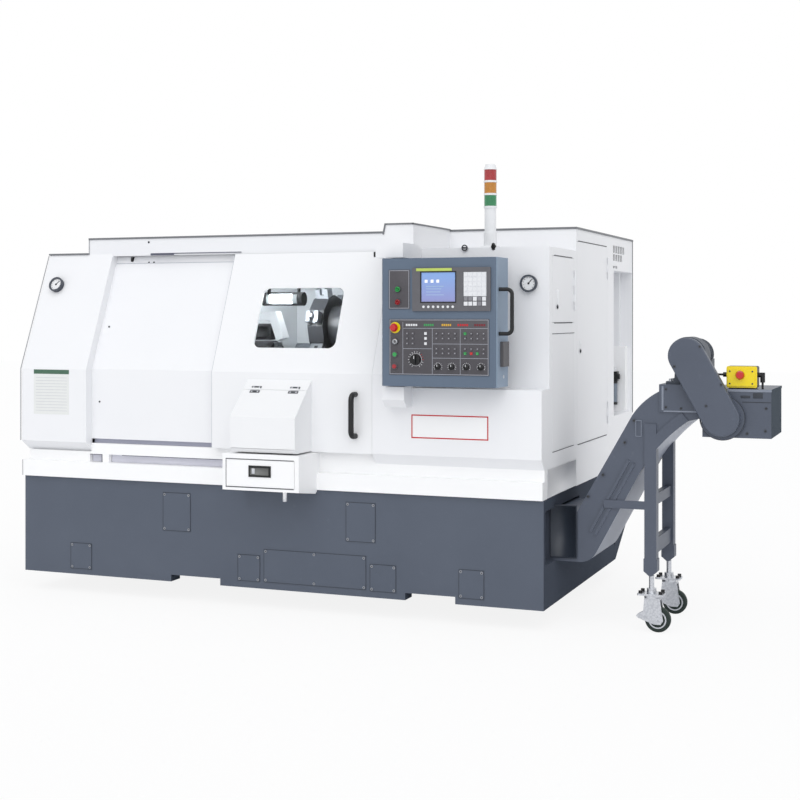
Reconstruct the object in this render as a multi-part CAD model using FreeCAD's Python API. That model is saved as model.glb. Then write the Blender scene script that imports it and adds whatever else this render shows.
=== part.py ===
import FreeCAD, Part
import math
import os

# Slant-bed CNC turning lathe with a chip conveyor at its right.
# All sizes are millimetres. The sizes are taken from the base's front right
# bottom corner: X to the right (the machine lies at negative X), Y to the
# back, Z up. Each piece is then moved so that the origin lies on the floor,
# under the middle of the whole machine.

V = FreeCAD.Vector

# ---- base -------------------------------------------------------------------
BASE_LENGTH = 2900.0          # along X, from -BASE_LENGTH to 0
BASE_HEIGHT = 515.0
BASE_DEPTH = 1800.0           # at the deck
BASE_TOE_DEPTH = 1500.0       # at the bottom, behind which the base slants up
BASE_TOE_HEIGHT = 180.0
BASE_WALL = 25.0
TANK_FLOOR_TOP = 206.0        # the conveyor's trough stands on it
TANK_FLOOR_THICKNESS = 20.0
FEET_HEIGHT = 100.0           # from the floor to the base's bottom edge
NOTCH_HEIGHT = 35.0           # lifting notches in the front's bottom edge
NOTCHES = ((-1993.0, -1705.0), (-692.0, -436.0))
NOTCH_DEPTH = 90.0            # of the fork pockets behind them
NOTCH_PLATE = 8.0
CHUTE_FRONT, CHUTE_REAR = 120.0, 640.0      # chip opening in the deck
MOUTH_FRONT, MOUTH_REAR = 30.0, 680.0       # conveyor opening in the right wall
MOUTH_TOP = BASE_HEIGHT - 55.0
SIDE_SLOTS = 6                # drain slots by the slanted rear edge
SIDE_SLOT_LENGTH, SIDE_SLOT_WIDTH = 46.0, 16.0

COVER_THICKNESS = 2.0
COVERS = (                    # left, right, bottom, top on the front
    (-2607.0, -2477.0, 30.0, 166.0),
    (-2040.0, -1878.0, 264.0, 460.0),
    (-1603.0, -1478.0, 34.0, 166.0),
    (-1455.0, -898.0, 36.0, 200.0),
    (-1004.0, -848.0, 268.0, 460.0),
    (-876.0, -740.0, 32.0, 163.0),
    (-417.0, -292.0, 32.0, 168.0),
)

FOOT_INSET = 300.0            # from the base's ends
FOOT_XS = (-BASE_LENGTH + FOOT_INSET, -BASE_LENGTH / 2, -FOOT_INSET)
FOOT_YS = (560.0, 1350.0)
FOOT_PAD_RADIUS, FOOT_PAD_HEIGHT = 55.0, 22.0
FOOT_STEM_RADIUS = 16.0
RIB_WIDTH = 120.0             # cross ribs that the feet screw into
RIB_BOTTOM = 40.0

# ---- sill -------------------------------------------------------------------
SILL_BACK = 60.0
SILL_LOWER_FRONT = -20.0
SILL_UPPER_FRONT = 15.0
SILL_STEP = 600.0             # top of the lower band
SILL_GUARD_TOP = 654.0        # top of the upper band under the fixed guards
SILL_DOOR_TOP = 700.0         # top of the upper band under the door
SILL_SLOTS = ((-2498.0, -2420.0), (-2380.0, -1568.0))      # left and right ends
SLOT_TOP = 642.0
SLOT_DEPTH = 41.0

# ---- sheet-metal body -------------------------------------------------------
SHEET = 4.0
FRONT_Y = -35.0               # guards and door, below the knee
RECESS_Y = 20.0               # fixed panel that the door slides over
RECESS_BOTTOM = 724.0
GROOVE_BACK = 110.0           # of the deep groove under that panel
KNEE_Z = 1092.0               # where the front begins to lean back
LEAN = 22.5                   # degrees
GUARD_CHAMFER_TOP = 706.0
GUARD_CHAMFER_BACK = 40.0
FRONT_ROOF_Z = 1713.0
REAR_ROOF_Z = 1820.0
REAR_FRONT_Y = 607.0          # the rear cabinet starts here
REAR_BACK_Y = 1950.0
REAR_WALL = 8.0
LEFT_GUARD_RIGHT = -2489.0
RECESS_RIGHT = -1700.0
DOOR_LEFT, DOOR_RIGHT = -1734.0, -852.0
HOUSING_LEFT = -851.0
COLUMN_RIGHT = -780.0         # leaning column between the door and the control
CORNER_RADIUS = 5.0

CHAMBER_LEFT, CHAMBER_RIGHT = -1840.0, -300.0
CHAMBER_REAR = 1190.0

# right housing
LEDGE_Z = 1030.0
UPPER_FRONT_Y = 100.0
HOUSING_TOP = 1705.0
SERVICE_DOOR = (155.0, 565.0, 1343.0, 1665.0)      # y and z of its opening
SERVICE_PANEL = (155.0, 565.0, 727.0, 1290.0)      # outlined panel below it
CABINET_DOOR = (625.0, 1296.0, 721.0, 1756.0)
DOOR_PLAY = 2.0
HINGE_RADIUS = 6.0
SIDE_HINGE_RADIUS = 4.5
HINGE_STANDOFF = 5.0
HINGE_SEGMENT = 40.0
HINGE_LEAF = 24.0
SIDE_DOOR_THICKNESS = 20.0
SERVICE_LATCH = (255.0, 1461.0, 84.0)              # y, z and length
CABINET_LATCH = (690.0, 1238.0, 26.0)
LATCH_WIDTH = 22.0
BAY = (1455.0, 1930.0, 812.0, 1630.0)              # open service bay: y and z
BAY_DEPTH = 250.0
DUCT = (-112.0, -65.0)        # cable duct on the bay's rear wall, left and right
AIR_PANEL_RIGHT, AIR_PANEL_TOP = -26.0, 1195.0
AIR_PANEL_DEPTH = 60.0
AIR_UNIT_X, AIR_BOWL_RADIUS = -88.0, 22.0
LOUVRE_START = 1445.0         # square ventilation holes over the bay
LOUVRE_SIZE, LOUVRE_PITCH = 44.0, 60.0
LOUVRE_ROWS = ((1729.0, 1771.0), (1685.0, 1722.0), (1642.0, 1657.0))
LOUVRE_COUNTS = (5, 4, 2)
REAR_PANELS = 3

HOOD_LEFT, HOOD_RIGHT = -850.0, -676.0
HOOD_TOP_LEFT = -823.0
HOOD_FRONT = 70.0
HOOD_TOP = 1826.0

# ---- sliding door -----------------------------------------------------------
DOOR_THICKNESS = 40.0
DOOR_SKIN = 4.0
DOOR_RIM = 26.0
DOOR_BOTTOM, DOOR_TOP = 704.0, 1700.0
WINDOW_LEFT, WINDOW_RIGHT = -1527.0, -1073.0
WINDOW_BOTTOM, WINDOW_TOP = 1215.0, 1518.0
WINDOW_CORNER = 38.0
WINDOW_LAP = 15.0             # glass behind the skin, all round
WINDOW_FRAME = 22.0
GLASS_THICKNESS = 8.0
DOOR_TRAVEL = 740.0
SHOE_LENGTH = 60.0
RUN_GAP = 0.3                 # between faces that slide past each other

PULL_X = -939.0
PULL_BOTTOM, PULL_TOP = 776.0, 1006.0
PULL_RADIUS = 13.5
PULL_REACH = 54.0
PULL_BEND = 30.0

CATCHER_LEFT, CATCHER_RIGHT = -1527.0, -1175.0
CATCHER_FRONT = -225.0
CATCHER_TOP_Z = 1057.0
CATCHER_FOLD_Z = 881.0
CATCHER_BOTTOM = 708.0
CATCHER_CHAMFER = 20.0
FLAP_HINGE_SHARE = 0.27       # of the way down the slope
FLAP_GAP = 0.5

# ---- parts box under the door ----------------------------------------------
BOX_LEFT, BOX_RIGHT = -1568.0, -1153.0
BOX_FRONT = -226.0
BOX_BOTTOM, BOX_TOP = 523.0, 701.0
BOX_DRAIN_Y, BOX_DRAIN_Z = -35.0, 498.0            # the bottom slopes back to here
BOX_BACK_BOTTOM = 507.0
DRAWER_LEFT, DRAWER_RIGHT = -1546.0, -1178.0
DRAWER_BOTTOM, DRAWER_TOP = 542.0, 673.0
DRAWER_PLAY = 2.0
DRAWER_TRAVEL = 150.0
LATCH = (-1422.0, -1302.0, 592.0, 646.0)
SPIGOT_X, SPIGOT_RADIUS, SPIGOT_LENGTH = -1242.0, 10.0, 48.0

# ---- machining unit ---------------------------------------------------------
SPINDLE_Y, SPINDLE_Z = 550.0, 1050.0
SLANT = 45.0                  # slope of the bed, degrees
SPINDLE_HEIGHT = 330.0        # of the spindle above the bed's sloping face
BED_LOW, BED_HIGH = -190.0, 560.0       # along the slope, from the spindle's foot
BED_BACK = 1240.0
BED_CORE_WALL = 70.0
BED_LEFT, BED_RIGHT = -2450.0, -320.0
WAY_HEIGHT = 30.0
WAYS = ((-190.0, -125.0), (-80.0, -30.0), (110.0, 170.0), (330.0, 400.0))
WAYS_LEFT = -1838.0

HEADSTOCK_RIGHT = -1860.0
HEADSTOCK_RADIUS = 200.0
SPINDLE_RADIUS = 120.0
RUNNING_PLAY = 0.05           # radial, of a shaft in its bearing
SPINDLE_FLANGE_RADIUS = 150.0
SPINDLE_BORE_RADIUS = 52.0
CHUCK_LEFT, CHUCK_RIGHT = -1820.0, -1660.0
CHUCK_RADIUS = 190.0
JAW_COUNT = 3
JAW_WIDTH = 50.0
JAW_SLOT_DEPTH = 40.0
JAW_INNER, JAW_OUTER = 62.0, 182.0
JAW_LENGTH = 110.0
JAW_STEP = 40.0
JAW_TRAVEL = 6.0

SADDLE_LEFT, SADDLE_RIGHT = -1410.0, -1030.0
SADDLE_TOP = 95.0
SADDLE_SKIRT = 20.0
CROSS_RAIL_WIDTH, CROSS_RAIL_HEIGHT = 60.0, 20.0
CROSS_CENTRE = 380.0          # turret axis along the slope, at rest
CROSS_HALF = 150.0
CROSS_THICKNESS = 50.0
TURRET_LEFT, TURRET_RIGHT = -1520.0, -1430.0
TURRET_RADIUS = 165.0         # to the flats
TURRET_FLATS = 12
TURRET_SHAFT_RADIUS = 60.0
TURRET_SHAFT_LENGTH = 130.0
TURRET_HOUSING_LEFT = -1425.0
TURRET_HOUSING_LENGTH = 245.0
TURRET_HOUSING_RADIUS = 115.0
TURRET_MOTOR_RADIUS = 82.0
TURRET_MOTOR_LENGTH = 130.0
HOLDER_COUNT = 6
HOLDER_WIDTH, HOLDER_HEIGHT = 62.0, 52.0
TOOL_SIZE = 20.0
TOOL_REACH = 22.0

TAILSTOCK_LEFT, TAILSTOCK_RIGHT = -600.0, -320.0
TAILSTOCK_RADIUS = 85.0
QUILL_RADIUS = 50.0
QUILL_LEFT, QUILL_RIGHT = -700.0, -340.0
CENTRE_LENGTH = 70.0

LAMP_Y, LAMP_Z = 350.0, 1464.0
LAMP_LEFT, LAMP_RIGHT = -1633.0, -1397.0
LAMP_RADIUS = 32.0
LAMP_CAP = 28.0

# ---- control ----------------------------------------------------------------
CONTROL_LEFT, CONTROL_RIGHT = -735.0, -165.0
CONTROL_BOTTOM, CONTROL_TOP = 1046.0, 1646.0
CONTROL_FRONT, CONTROL_BACK = -200.0, -15.0
CONTROL_CORNER = 14.0
CONTROL_WALL = 4.0
PIVOT_X, PIVOT_Y = -685.0, -107.0
PIVOT_RADIUS = 15.0
PIVOT_DEPTH = 30.0
UPPER_ARM = (-785.0, -645.0, 1652.0, 1722.0)
LOWER_ARM = (-751.0, -640.0, 940.0, 1040.0)
LOWER_ARM_CHAMFER = 38.0
ARM_FRONT = -150.0

PLATE = 4.0
DISPLAY = (-576.0, -193.0, 1398.0, 1600.0)
SCREEN = (-531.0, -363.0, 1441.0, 1578.0)
KEYPAD = (-323.0, -212.0, 1421.0, 1578.0)
KEYPAD_COLUMNS, KEYPAD_ROWS = 5, 7
SOFT_KEYS = 7
SOFT_KEY_Z = 1418.0
SWITCH_PLATE = (-696.0, -590.0, 1408.0, 1592.0)
OPERATOR = (-693.0, -201.0, 1100.0, 1361.0)
KEY_SIZE, KEY_HEIGHT = 13.0, 3.0
KEY_ROW_PITCH = 24.0
KEY_BLOCKS = (                # left, top, pitch
    (-462.0, 1322.0, 32.0),
    (-462.0, 1262.0, 32.0),
    (-322.0, 1322.0, 32.0),
    (-322.0, 1262.0, 32.0),
    (-602.0, 1322.0, 28.0),
    (-510.0, 1322.0, 24.0),
)
KEY_COUNTS = ((4, 2), (4, 2), (4, 2), (4, 2), (2, 3), (1, 3))      # columns, rows
OVERRIDE_KNOBS = (-448.0, -380.0, -311.0, -238.0)
OVERRIDE_Z, OVERRIDE_RADIUS, OVERRIDE_HEIGHT = 1140.0, 13.0, 14.0
KEY_SWITCH = (-662.0, 1254.0)
POWER_BUTTONS = ((-648.0, 1500.0), (-648.0, 1440.0))
ESTOP = (-663.0, 1321.0)
ESTOP_RING_RADIUS, ESTOP_HEAD_RADIUS, ESTOP_STEM_RADIUS = 26.0, 20.0, 11.0
ESTOP_RING = 8.0
ESTOP_HEIGHT = 32.0
ESTOP_TRAVEL = 6.0
BUTTON_RADIUS, BUTTON_RING_RADIUS, BUTTON_TRAVEL = 10.0, 14.0, 3.0
START_BUTTON = (-663.0, 1195.0)
HOLD_BUTTON = (-665.0, 1139.0)
MODE_KNOB = (-559.0, 1172.0)
MODE_RADIUS, MODE_HEIGHT, MODE_SHAFT = 24.0, 18.0, 4.0
GRIP_BOTTOM, GRIP_TOP = 1285.0, 1507.0
GRIP_REACH = 62.0
GRIP_RADIUS = 9.0
GRIP_BEND = 24.0
GRIP_Y = -165.0
PORT_COVER = (-150.0, -60.0, 1141.0, 1257.0)
PORT_PROUD = 16.0

GAUGE_RADIUS, GAUGE_DEPTH = 40.0, 24.0
GAUGE_DIAL_RADIUS = 33.0
LEFT_GAUGE_INSET = 103.0      # from the machine's left end
LEFT_GAUGE_X, LEFT_GAUGE_Z = -BASE_LENGTH + LEFT_GAUGE_INSET, 1541.0
RIGHT_GAUGE_X, RIGHT_GAUGE_Z = -97.0, 1530.0

# ---- signal tower -----------------------------------------------------------
TOWER_X, TOWER_Y = -308.0, 150.0
TOWER_BRACKET = 74.0
TOWER_BRACKET_TOP = 1778.0
TOWER_SOCKET_WALL = 4.0
TOWER_POLE_RADIUS = 28.0
TOWER_LENS_RADIUS = 30.0
TOWER_LENS_HEIGHT = 52.0
TOWER_RING_HEIGHT = 10.0
TOWER_LENS_START = 1896.0
TOWER_CAP_HEIGHT = 26.0
TOWER_CORE_RADIUS = 10.0

# ---- chip conveyor ----------------------------------------------------------
CONVEYOR_FRONT, CONVEYOR_BACK = 194.0, 667.0
CONVEYOR_WALL = 5.0
TROUGH_LEFT, TROUGH_RIGHT = -1990.0, 112.0
TROUGH_TOP = BASE_HEIGHT - 69.0
TROUGH_BEND = 176.0           # where the bottom turns into the incline
TROUGH_BEND_RADIUS = 90.0
INCLINE_LOWER = V(400.0, 0, 624.0)
ARCH_MIDDLE = V(499.0, 0, 767.0)
ARCH_END = V(638.0, 0, 891.0)
HEAD_RIGHT = 700.0
HEAD_BOTTOM, HEAD_TOP = 905.0, 1058.0
HEAD_LEFT = 600.0             # where the casing's outer arc meets its level top
HEAD_BOX_LEFT, HEAD_BOX_BOTTOM = 502.0, 930.0      # drive box that caps the bend
HEAD_PLATE = 8.0
OUTER_MIDDLE = V(491.0, 0, 1019.0)
INCLINE_UPPER = V(375.0, 0, 911.0)
BELT_INSET, BELT_THICKNESS = 45.0, 12.0
BELT_SIDE_GAP = 5.3            # the belt's edges run 0.3 from the side walls
CLEAT_HEIGHT, CLEAT_PITCH = 25.0, 200.0
CASING_RIB = 8.0

DISCHARGE_RIGHT = 1009.0
DISCHARGE_BOTTOM, DISCHARGE_TOP = 819.0, 1042.0
DISCHARGE_BACK = 600.0
LID_LAP = 2.0                 # the lid stands out round the head
BEARING_RADIUS = 100.0
BEARING_FRONT = 170.0

SHAFT_X, SHAFT_Z = 793.0, 910.0
MOTOR_X, MOTOR_Z = 636.0, 1193.0
GUARD_RADIUS = 83.0
GUARD_FRONT = 125.0
GEARBOX_RADIUS, GEARBOX_LENGTH = 86.0, 130.0
GEAR_MOTOR_RADIUS, GEAR_MOTOR_LENGTH = 68.0, 190.0
MOTOR_FEET = (531.0, 698.0)
MOTOR_FOOT_THICKNESS = 14.0
TERMINAL_X = (656.0, 716.0)   # terminal box under the motor's right side
TERMINAL_DROP = (95.0, 20.0)  # its bottom and top under the motor's axis
TERMINAL_Y = (60.0, 150.0)    # behind the gearbox's end
STOP_BOX = (808.0, 945.0, 196.0, 286.0)            # left, right, front, back
STOP_BOX_TOP = 1146.0
STOP_PLATE = 6.0
STOP_LID = (813.0, 936.0, 1056.0, 1133.0)          # yellow front: left, right, z
STOP_LID_THICKNESS = 8.0
STOP_BUTTON = (871.0, 1106.0)
STOP_RING_RADIUS, STOP_HEAD_RADIUS, STOP_STEM_RADIUS = 23.0, 20.0, 9.0
GLAND_RADIUS, GLAND_LENGTH = 11.0, 20.0
GLAND_Z, ELBOW_BOTTOM = 1106.0, 1072.0
CABLE_RADIUS = 5.0

LEG_X, LEG_SIZE = 461.0, 56.0
LEG_BOTTOM, LEG_TOP = 162.0, 872.0
LEG_FOOT_HEIGHT, LEG_FOOT_LAP = 80.0, 4.0          # sleeve round the leg's lower end
LEG_FOOT_CHAMFER = 22.0
LEG_UPPER_BAR = (487.0, 537.0)
LEG_LOWER_BAR = (258.0, 328.0)
BEND_STRIP = 48.0             # width of the strip along the bend's underside
SIDE_PLATE = 8.0              # the legs and strips stand out from the casing's sides
STRAP = (240.0, 471.0, 509.0)                      # left end, bottom, top
STRAP_THICKNESS = SIDE_PLATE

CASTER_X = 462.0
WHEEL_RADIUS, WHEEL_WIDTH = 60.0, 34.0
WHEEL_TRAIL = 30.0
AXLE_RADIUS = 6.0
CASTER_PLATE_Z, CASTER_PLATE_THICKNESS = 72.0, 9.0
CASTER_PLATE_X, CASTER_PLATE_Y = 122.0, 84.0
CASTER_STEM_RADIUS = 12.0
FORK_GAP, FORK_THICKNESS = 3.0, 4.0
HUB_RADIUS, HUB_PROUD = 21.0, 3.0
PEDAL_REACH, PEDAL_LENGTH = 68.0, 26.0

FRONT_END = CONTROL_FRONT - PLATE - ESTOP_HEIGHT
ORIGIN_SHIFT = V(
    (BASE_LENGTH - DISCHARGE_RIGHT - LID_LAP) / 2,
    -(FRONT_END + REAR_BACK_Y) / 2,
    FEET_HEIGHT,
)
TAN_LEAN = math.tan(math.radians(LEAN))


# ---- shape helpers ----------------------------------------------------------
def save(name, shape):
    """Write one piece, moved to the machine's own origin."""
    moved = shape.copy()
    moved.translate(ORIGIN_SHIFT)
    moved.exportStep("parts/%s.step" % name)


def block(x0, x1, y0, y1, z0, z1):
    return Part.makeBox(x1 - x0, y1 - y0, z1 - z0, V(x0, y0, z0))


def prism_x(points, x0, x1):
    """A (y, z) outline drawn out along X."""
    corners = [V(x0, y, z) for y, z in points]
    return Part.Face(Part.makePolygon(corners + corners[:1])).extrude(V(x1 - x0, 0, 0))


def prism_y(points, y0, y1):
    """An (x, z) outline drawn out along Y."""
    corners = [V(x, y0, z) for x, z in points]
    return Part.Face(Part.makePolygon(corners + corners[:1])).extrude(V(0, y1 - y0, 0))


def rod(start, end, radius):
    return Part.makeCylinder(radius, (end - start).Length, start, end - start)


def rod_x(x0, x1, y, z, radius):
    return rod(V(x0, y, z), V(x1, y, z), radius)


def rod_y(y0, y1, x, z, radius):
    return rod(V(x, y0, z), V(x, y1, z), radius)


def rod_z(z0, z1, x, y, radius):
    return rod(V(x, y, z0), V(x, y, z1), radius)


def join(*shapes):
    """One solid from pieces that overlap or share faces."""
    return shapes[0].fuse(list(shapes[1:])).removeSplitter()


def group(shapes):
    return Part.makeCompound(shapes)


def offset_line(points, distance):
    """A polyline moved sideways to its left by a distance, with mitred corners."""
    moved = []
    count = len(points)
    for i, (a, b) in enumerate(points):
        normals = []
        for j, k in ((i - 1, i), (i, i + 1)):
            if j < 0 or k >= count:
                continue
            da, db = points[k][0] - points[j][0], points[k][1] - points[j][1]
            length = math.hypot(da, db)
            normals.append((-db / length, da / length))
        na = sum(n[0] for n in normals) / len(normals)
        nb = sum(n[1] for n in normals) / len(normals)
        scale = distance / (na * na + nb * nb)
        moved.append((a + na * scale, b + nb * scale))
    return moved


def folded(points, thickness):
    """The outline of a sheet folded along a polyline."""
    return list(points) + offset_line(points, thickness)[::-1]


def inset(points, distance):
    """A closed outline moved inwards; its points run anticlockwise."""
    count = len(points)
    ring = [points[-1]] + list(points) + [points[0]]
    return offset_line(ring, distance)[1:count + 1]


def rounded_block(x0, x1, y0, y1, z0, z1, radius, direction):
    """A block with its four edges along one direction rounded."""
    solid = block(x0, x1, y0, y1, z0, z1)
    edges = [e for e in solid.Edges if abs(e.tangentAt(0).dot(direction)) > 0.99]
    return solid.makeFillet(radius, edges)


def bow(start, reach, end, radius, bend):
    """A round bar that stands off a face at start, runs to end and comes back."""
    out_start, out_end = start + reach, end + reach
    outward = V(reach).normalize()
    along = (end - start).normalize()
    chord = bend * (1 - math.sqrt(0.5))
    corner_a = out_start + along * chord - outward * chord
    corner_b = out_end - along * chord - outward * chord
    path = Part.Wire([
        Part.LineSegment(start, out_start - outward * bend).toShape(),
        Part.Arc(out_start - outward * bend, corner_a, out_start + along * bend).toShape(),
        Part.LineSegment(out_start + along * bend, out_end - along * bend).toShape(),
        Part.Arc(out_end - along * bend, corner_b, out_end - outward * bend).toShape(),
        Part.LineSegment(out_end - outward * bend, end).toShape(),
    ])
    section = Part.Wire(Part.makeCircle(radius, start, outward))
    return path.makePipeShell([section], True, True)


def cable(points, radius):
    """A cable through hand-chosen points, with an arc at every turn."""
    shares = 0.45
    edges = []
    previous = points[0]
    for before, corner, after in zip(points, points[1:], points[2:]):
        to_before, to_after = before - corner, after - corner
        reach = shares * min(to_before.Length, to_after.Length)
        arc_start = corner + V(to_before).normalize() * reach
        arc_end = corner + V(to_after).normalize() * reach
        half = to_before.getAngle(to_after) / 2
        bisector = (V(to_before).normalize() + V(to_after).normalize()).normalize()
        bend = reach * math.tan(half)
        middle = corner + bisector * (reach / math.cos(half) - bend)
        edges.append(Part.LineSegment(previous, arc_start).toShape())
        edges.append(Part.Arc(arc_start, middle, arc_end).toShape())
        print("cable bend radius %.1f mm" % bend)
        previous = arc_end
    edges.append(Part.LineSegment(previous, points[-1]).toShape())
    path = Part.Wire(edges)
    section = Part.Wire(Part.makeCircle(radius, points[0], points[1] - points[0]))
    return path.makePipeShell([section], True, False)


def on_bed(shape):
    """Moves a piece drawn on a level bed onto the slanted one.

    It is drawn with X along the spindle, Y up the slope from the foot of the
    spindle's perpendicular, and Z square to the bed's face.
    """
    shape = shape.copy()
    shape.rotate(V(0, 0, 0), V(1, 0, 0), SLANT)
    slope = math.radians(SLANT)
    foot = V(0, SPINDLE_Y + SPINDLE_HEIGHT * math.sin(slope),
             SPINDLE_Z - SPINDLE_HEIGHT * math.cos(slope))
    shape.translate(foot)
    return shape


def lean_y(z, front, knee=KNEE_Z):
    """The front's Y at a height, on a face that leans back above the knee."""
    return front + max(0.0, z - knee) * TAN_LEAN


def on_lean(shape, x, z, front):
    """Moves a piece drawn on the face y = 0 onto the leaning front."""
    shape = shape.copy()
    shape.rotate(V(0, 0, 0), V(1, 0, 0), -LEAN)
    shape.translate(V(x, lean_y(z, front), z))
    return shape


# ---- base -------------------------------------------------------------------
def base_profile():
    return [(0, 0), (BASE_TOE_DEPTH, 0), (BASE_DEPTH, BASE_TOE_HEIGHT),
            (BASE_DEPTH, BASE_HEIGHT), (0, BASE_HEIGHT)]


def make_base_skirt():
    profile = base_profile()
    wall = BASE_WALL
    hollow = inset(profile, wall)
    hollow[0] = (hollow[0][0], -wall)
    hollow[1] = (hollow[1][0] - wall, -wall)
    inner_x = (-BASE_LENGTH + wall, -wall)
    shell = prism_x(profile, -BASE_LENGTH, 0).cut(prism_x(hollow, *inner_x))
    cavity = prism_x(inset(profile, wall / 2), inner_x[0] - 1, inner_x[1] + 1)
    tank_floor = block(inner_x[0] - 1, inner_x[1] + 1, wall / 2, BASE_DEPTH,
                       TANK_FLOOR_TOP - TANK_FLOOR_THICKNESS, TANK_FLOOR_TOP)
    pieces = [tank_floor.common(cavity)]
    for x in FOOT_XS:
        rib = block(x - RIB_WIDTH / 2, x + RIB_WIDTH / 2, wall / 2, BASE_DEPTH,
                    RIB_BOTTOM, TANK_FLOOR_TOP)
        pieces.append(rib.common(cavity))
    for left, right in NOTCHES:
        pieces.append(block(left - NOTCH_PLATE, right + NOTCH_PLATE, wall / 2, NOTCH_DEPTH,
                            0, NOTCH_HEIGHT + NOTCH_PLATE))
    base = join(shell, *pieces)
    holes = [block(CHAMBER_LEFT, CHAMBER_RIGHT, CHUTE_FRONT, CHUTE_REAR,
                   BASE_HEIGHT - wall - 1, BASE_HEIGHT + 1),
             block(-wall - 1, 1, MOUTH_FRONT, MOUTH_REAR, TANK_FLOOR_TOP, MOUTH_TOP)]
    for left, right in NOTCHES:
        holes.append(block(left, right, -1, NOTCH_DEPTH + 1, -1, NOTCH_HEIGHT))
    toe = math.atan2(BASE_TOE_HEIGHT, BASE_DEPTH - BASE_TOE_DEPTH)
    for i in range(SIDE_SLOTS):
        share = (i + 1.0) / (SIDE_SLOTS + 1)
        slot = block(-wall - 1, 1, -SIDE_SLOT_LENGTH, 0, 0, SIDE_SLOT_WIDTH)
        slot.rotate(V(0, 0, 0), V(1, 0, 0), -math.degrees(toe))
        slot.translate(V(0, BASE_TOE_DEPTH - 60 + share * (BASE_DEPTH - BASE_TOE_DEPTH),
                         40 + share * (BASE_TOE_HEIGHT + 60)))
        holes.append(slot)
    return base.cut(holes)


def make_base_covers():
    return group([block(left, right, -COVER_THICKNESS, 0, bottom, top)
                  for left, right, bottom, top in COVERS])


def make_levelling_feet():
    feet = []
    for x in FOOT_XS:
        for y in FOOT_YS:
            pad = Part.makeCone(FOOT_PAD_RADIUS, FOOT_PAD_RADIUS * 0.7, FOOT_PAD_HEIGHT,
                                V(x, y, -FEET_HEIGHT))
            stem = rod_z(-FEET_HEIGHT + FOOT_PAD_HEIGHT, RIB_BOTTOM, x, y, FOOT_STEM_RADIUS)
            nut = rod_z(RIB_BOTTOM - 20, RIB_BOTTOM, x, y, FOOT_STEM_RADIUS * 1.7)
            feet.append(join(pad, stem, nut))
    return group(feet)


# ---- sill and fixed sheet metal ---------------------------------------------
def make_sill_rail():
    lower = block(-BASE_LENGTH, 0, SILL_LOWER_FRONT, SILL_BACK, BASE_HEIGHT, SILL_STEP)
    under_guards = block(-BASE_LENGTH + 20, 0, SILL_UPPER_FRONT, SILL_BACK,
                         SILL_STEP, SILL_GUARD_TOP)
    under_door = block(LEFT_GUARD_RIGHT, HOUSING_LEFT, SILL_UPPER_FRONT, SILL_BACK,
                       SILL_STEP, SILL_DOOR_TOP)
    slots = [block(left, right, SILL_UPPER_FRONT - 1, SILL_UPPER_FRONT + SLOT_DEPTH,
                   SILL_STEP, SLOT_TOP) for left, right in SILL_SLOTS]
    return join(lower, under_guards, under_door).cut(slots)


def guard_profile():
    top = FRONT_ROOF_Z
    return [(GUARD_CHAMFER_BACK, SILL_GUARD_TOP), (REAR_FRONT_Y, SILL_GUARD_TOP),
            (REAR_FRONT_Y, top), (lean_y(top, FRONT_Y), top),
            (FRONT_Y, KNEE_Z), (FRONT_Y, GUARD_CHAMFER_TOP)]


def make_left_guard():
    profile = guard_profile()
    outer = prism_x(profile, -BASE_LENGTH, LEFT_GUARD_RIGHT)
    front_edges = [e for e in outer.Edges
                   if all(abs(v.X + BASE_LENGTH) < 1 for v in e.Vertexes)
                   and max(v.Y for v in e.Vertexes) < REAR_FRONT_Y + 1
                   and min(v.Y for v in e.Vertexes) < REAR_FRONT_Y - 1
                   and min(v.Z for v in e.Vertexes) > SILL_GUARD_TOP + 1]
    outer = outer.makeFillet(CORNER_RADIUS, front_edges)
    inner_profile = inset(profile, SHEET)
    inner_profile[1] = (REAR_FRONT_Y + 1, inner_profile[1][1])
    inner_profile[2] = (REAR_FRONT_Y + 1, inner_profile[2][1])
    inner = prism_x(inner_profile, -BASE_LENGTH + CORNER_RADIUS, LEFT_GUARD_RIGHT - SHEET)
    opening = prism_x(inset(inner_profile, CORNER_RADIUS * 2), LEFT_GUARD_RIGHT - 2 * SHEET,
                      LEFT_GUARD_RIGHT + 1)
    low, high, front = SILL_GUARD_TOP + SHEET, FRONT_ROOF_Z - SHEET, RECESS_Y + SHEET
    recess = prism_x([(front, low), (REAR_FRONT_Y + 1, low), (REAR_FRONT_Y + 1, high),
                      (lean_y(high, front), high), (front, KNEE_Z)],
                     LEFT_GUARD_RIGHT - 2 * SHEET, LEFT_GUARD_RIGHT + 1)
    return outer.cut([inner, opening.common(recess)])


def make_recess_panel():
    line = [(SILL_BACK, SILL_DOOR_TOP), (GROOVE_BACK, SILL_DOOR_TOP),
            (GROOVE_BACK, RECESS_BOTTOM), (RECESS_Y, RECESS_BOTTOM), (RECESS_Y, KNEE_Z),
            (lean_y(DOOR_TOP, RECESS_Y), DOOR_TOP)]
    sheet = prism_x(folded(line, -SHEET), LEFT_GUARD_RIGHT, RECESS_RIGHT)
    flange_line = [(RECESS_Y + SHEET, RECESS_BOTTOM + SHEET), (RECESS_Y + SHEET, KNEE_Z),
                   (lean_y(DOOR_TOP - 2, RECESS_Y + SHEET), DOOR_TOP - 2)]
    flange = prism_x(folded(flange_line, -60.0), RECESS_RIGHT - SHEET, RECESS_RIGHT)
    return join(sheet, flange)


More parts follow.
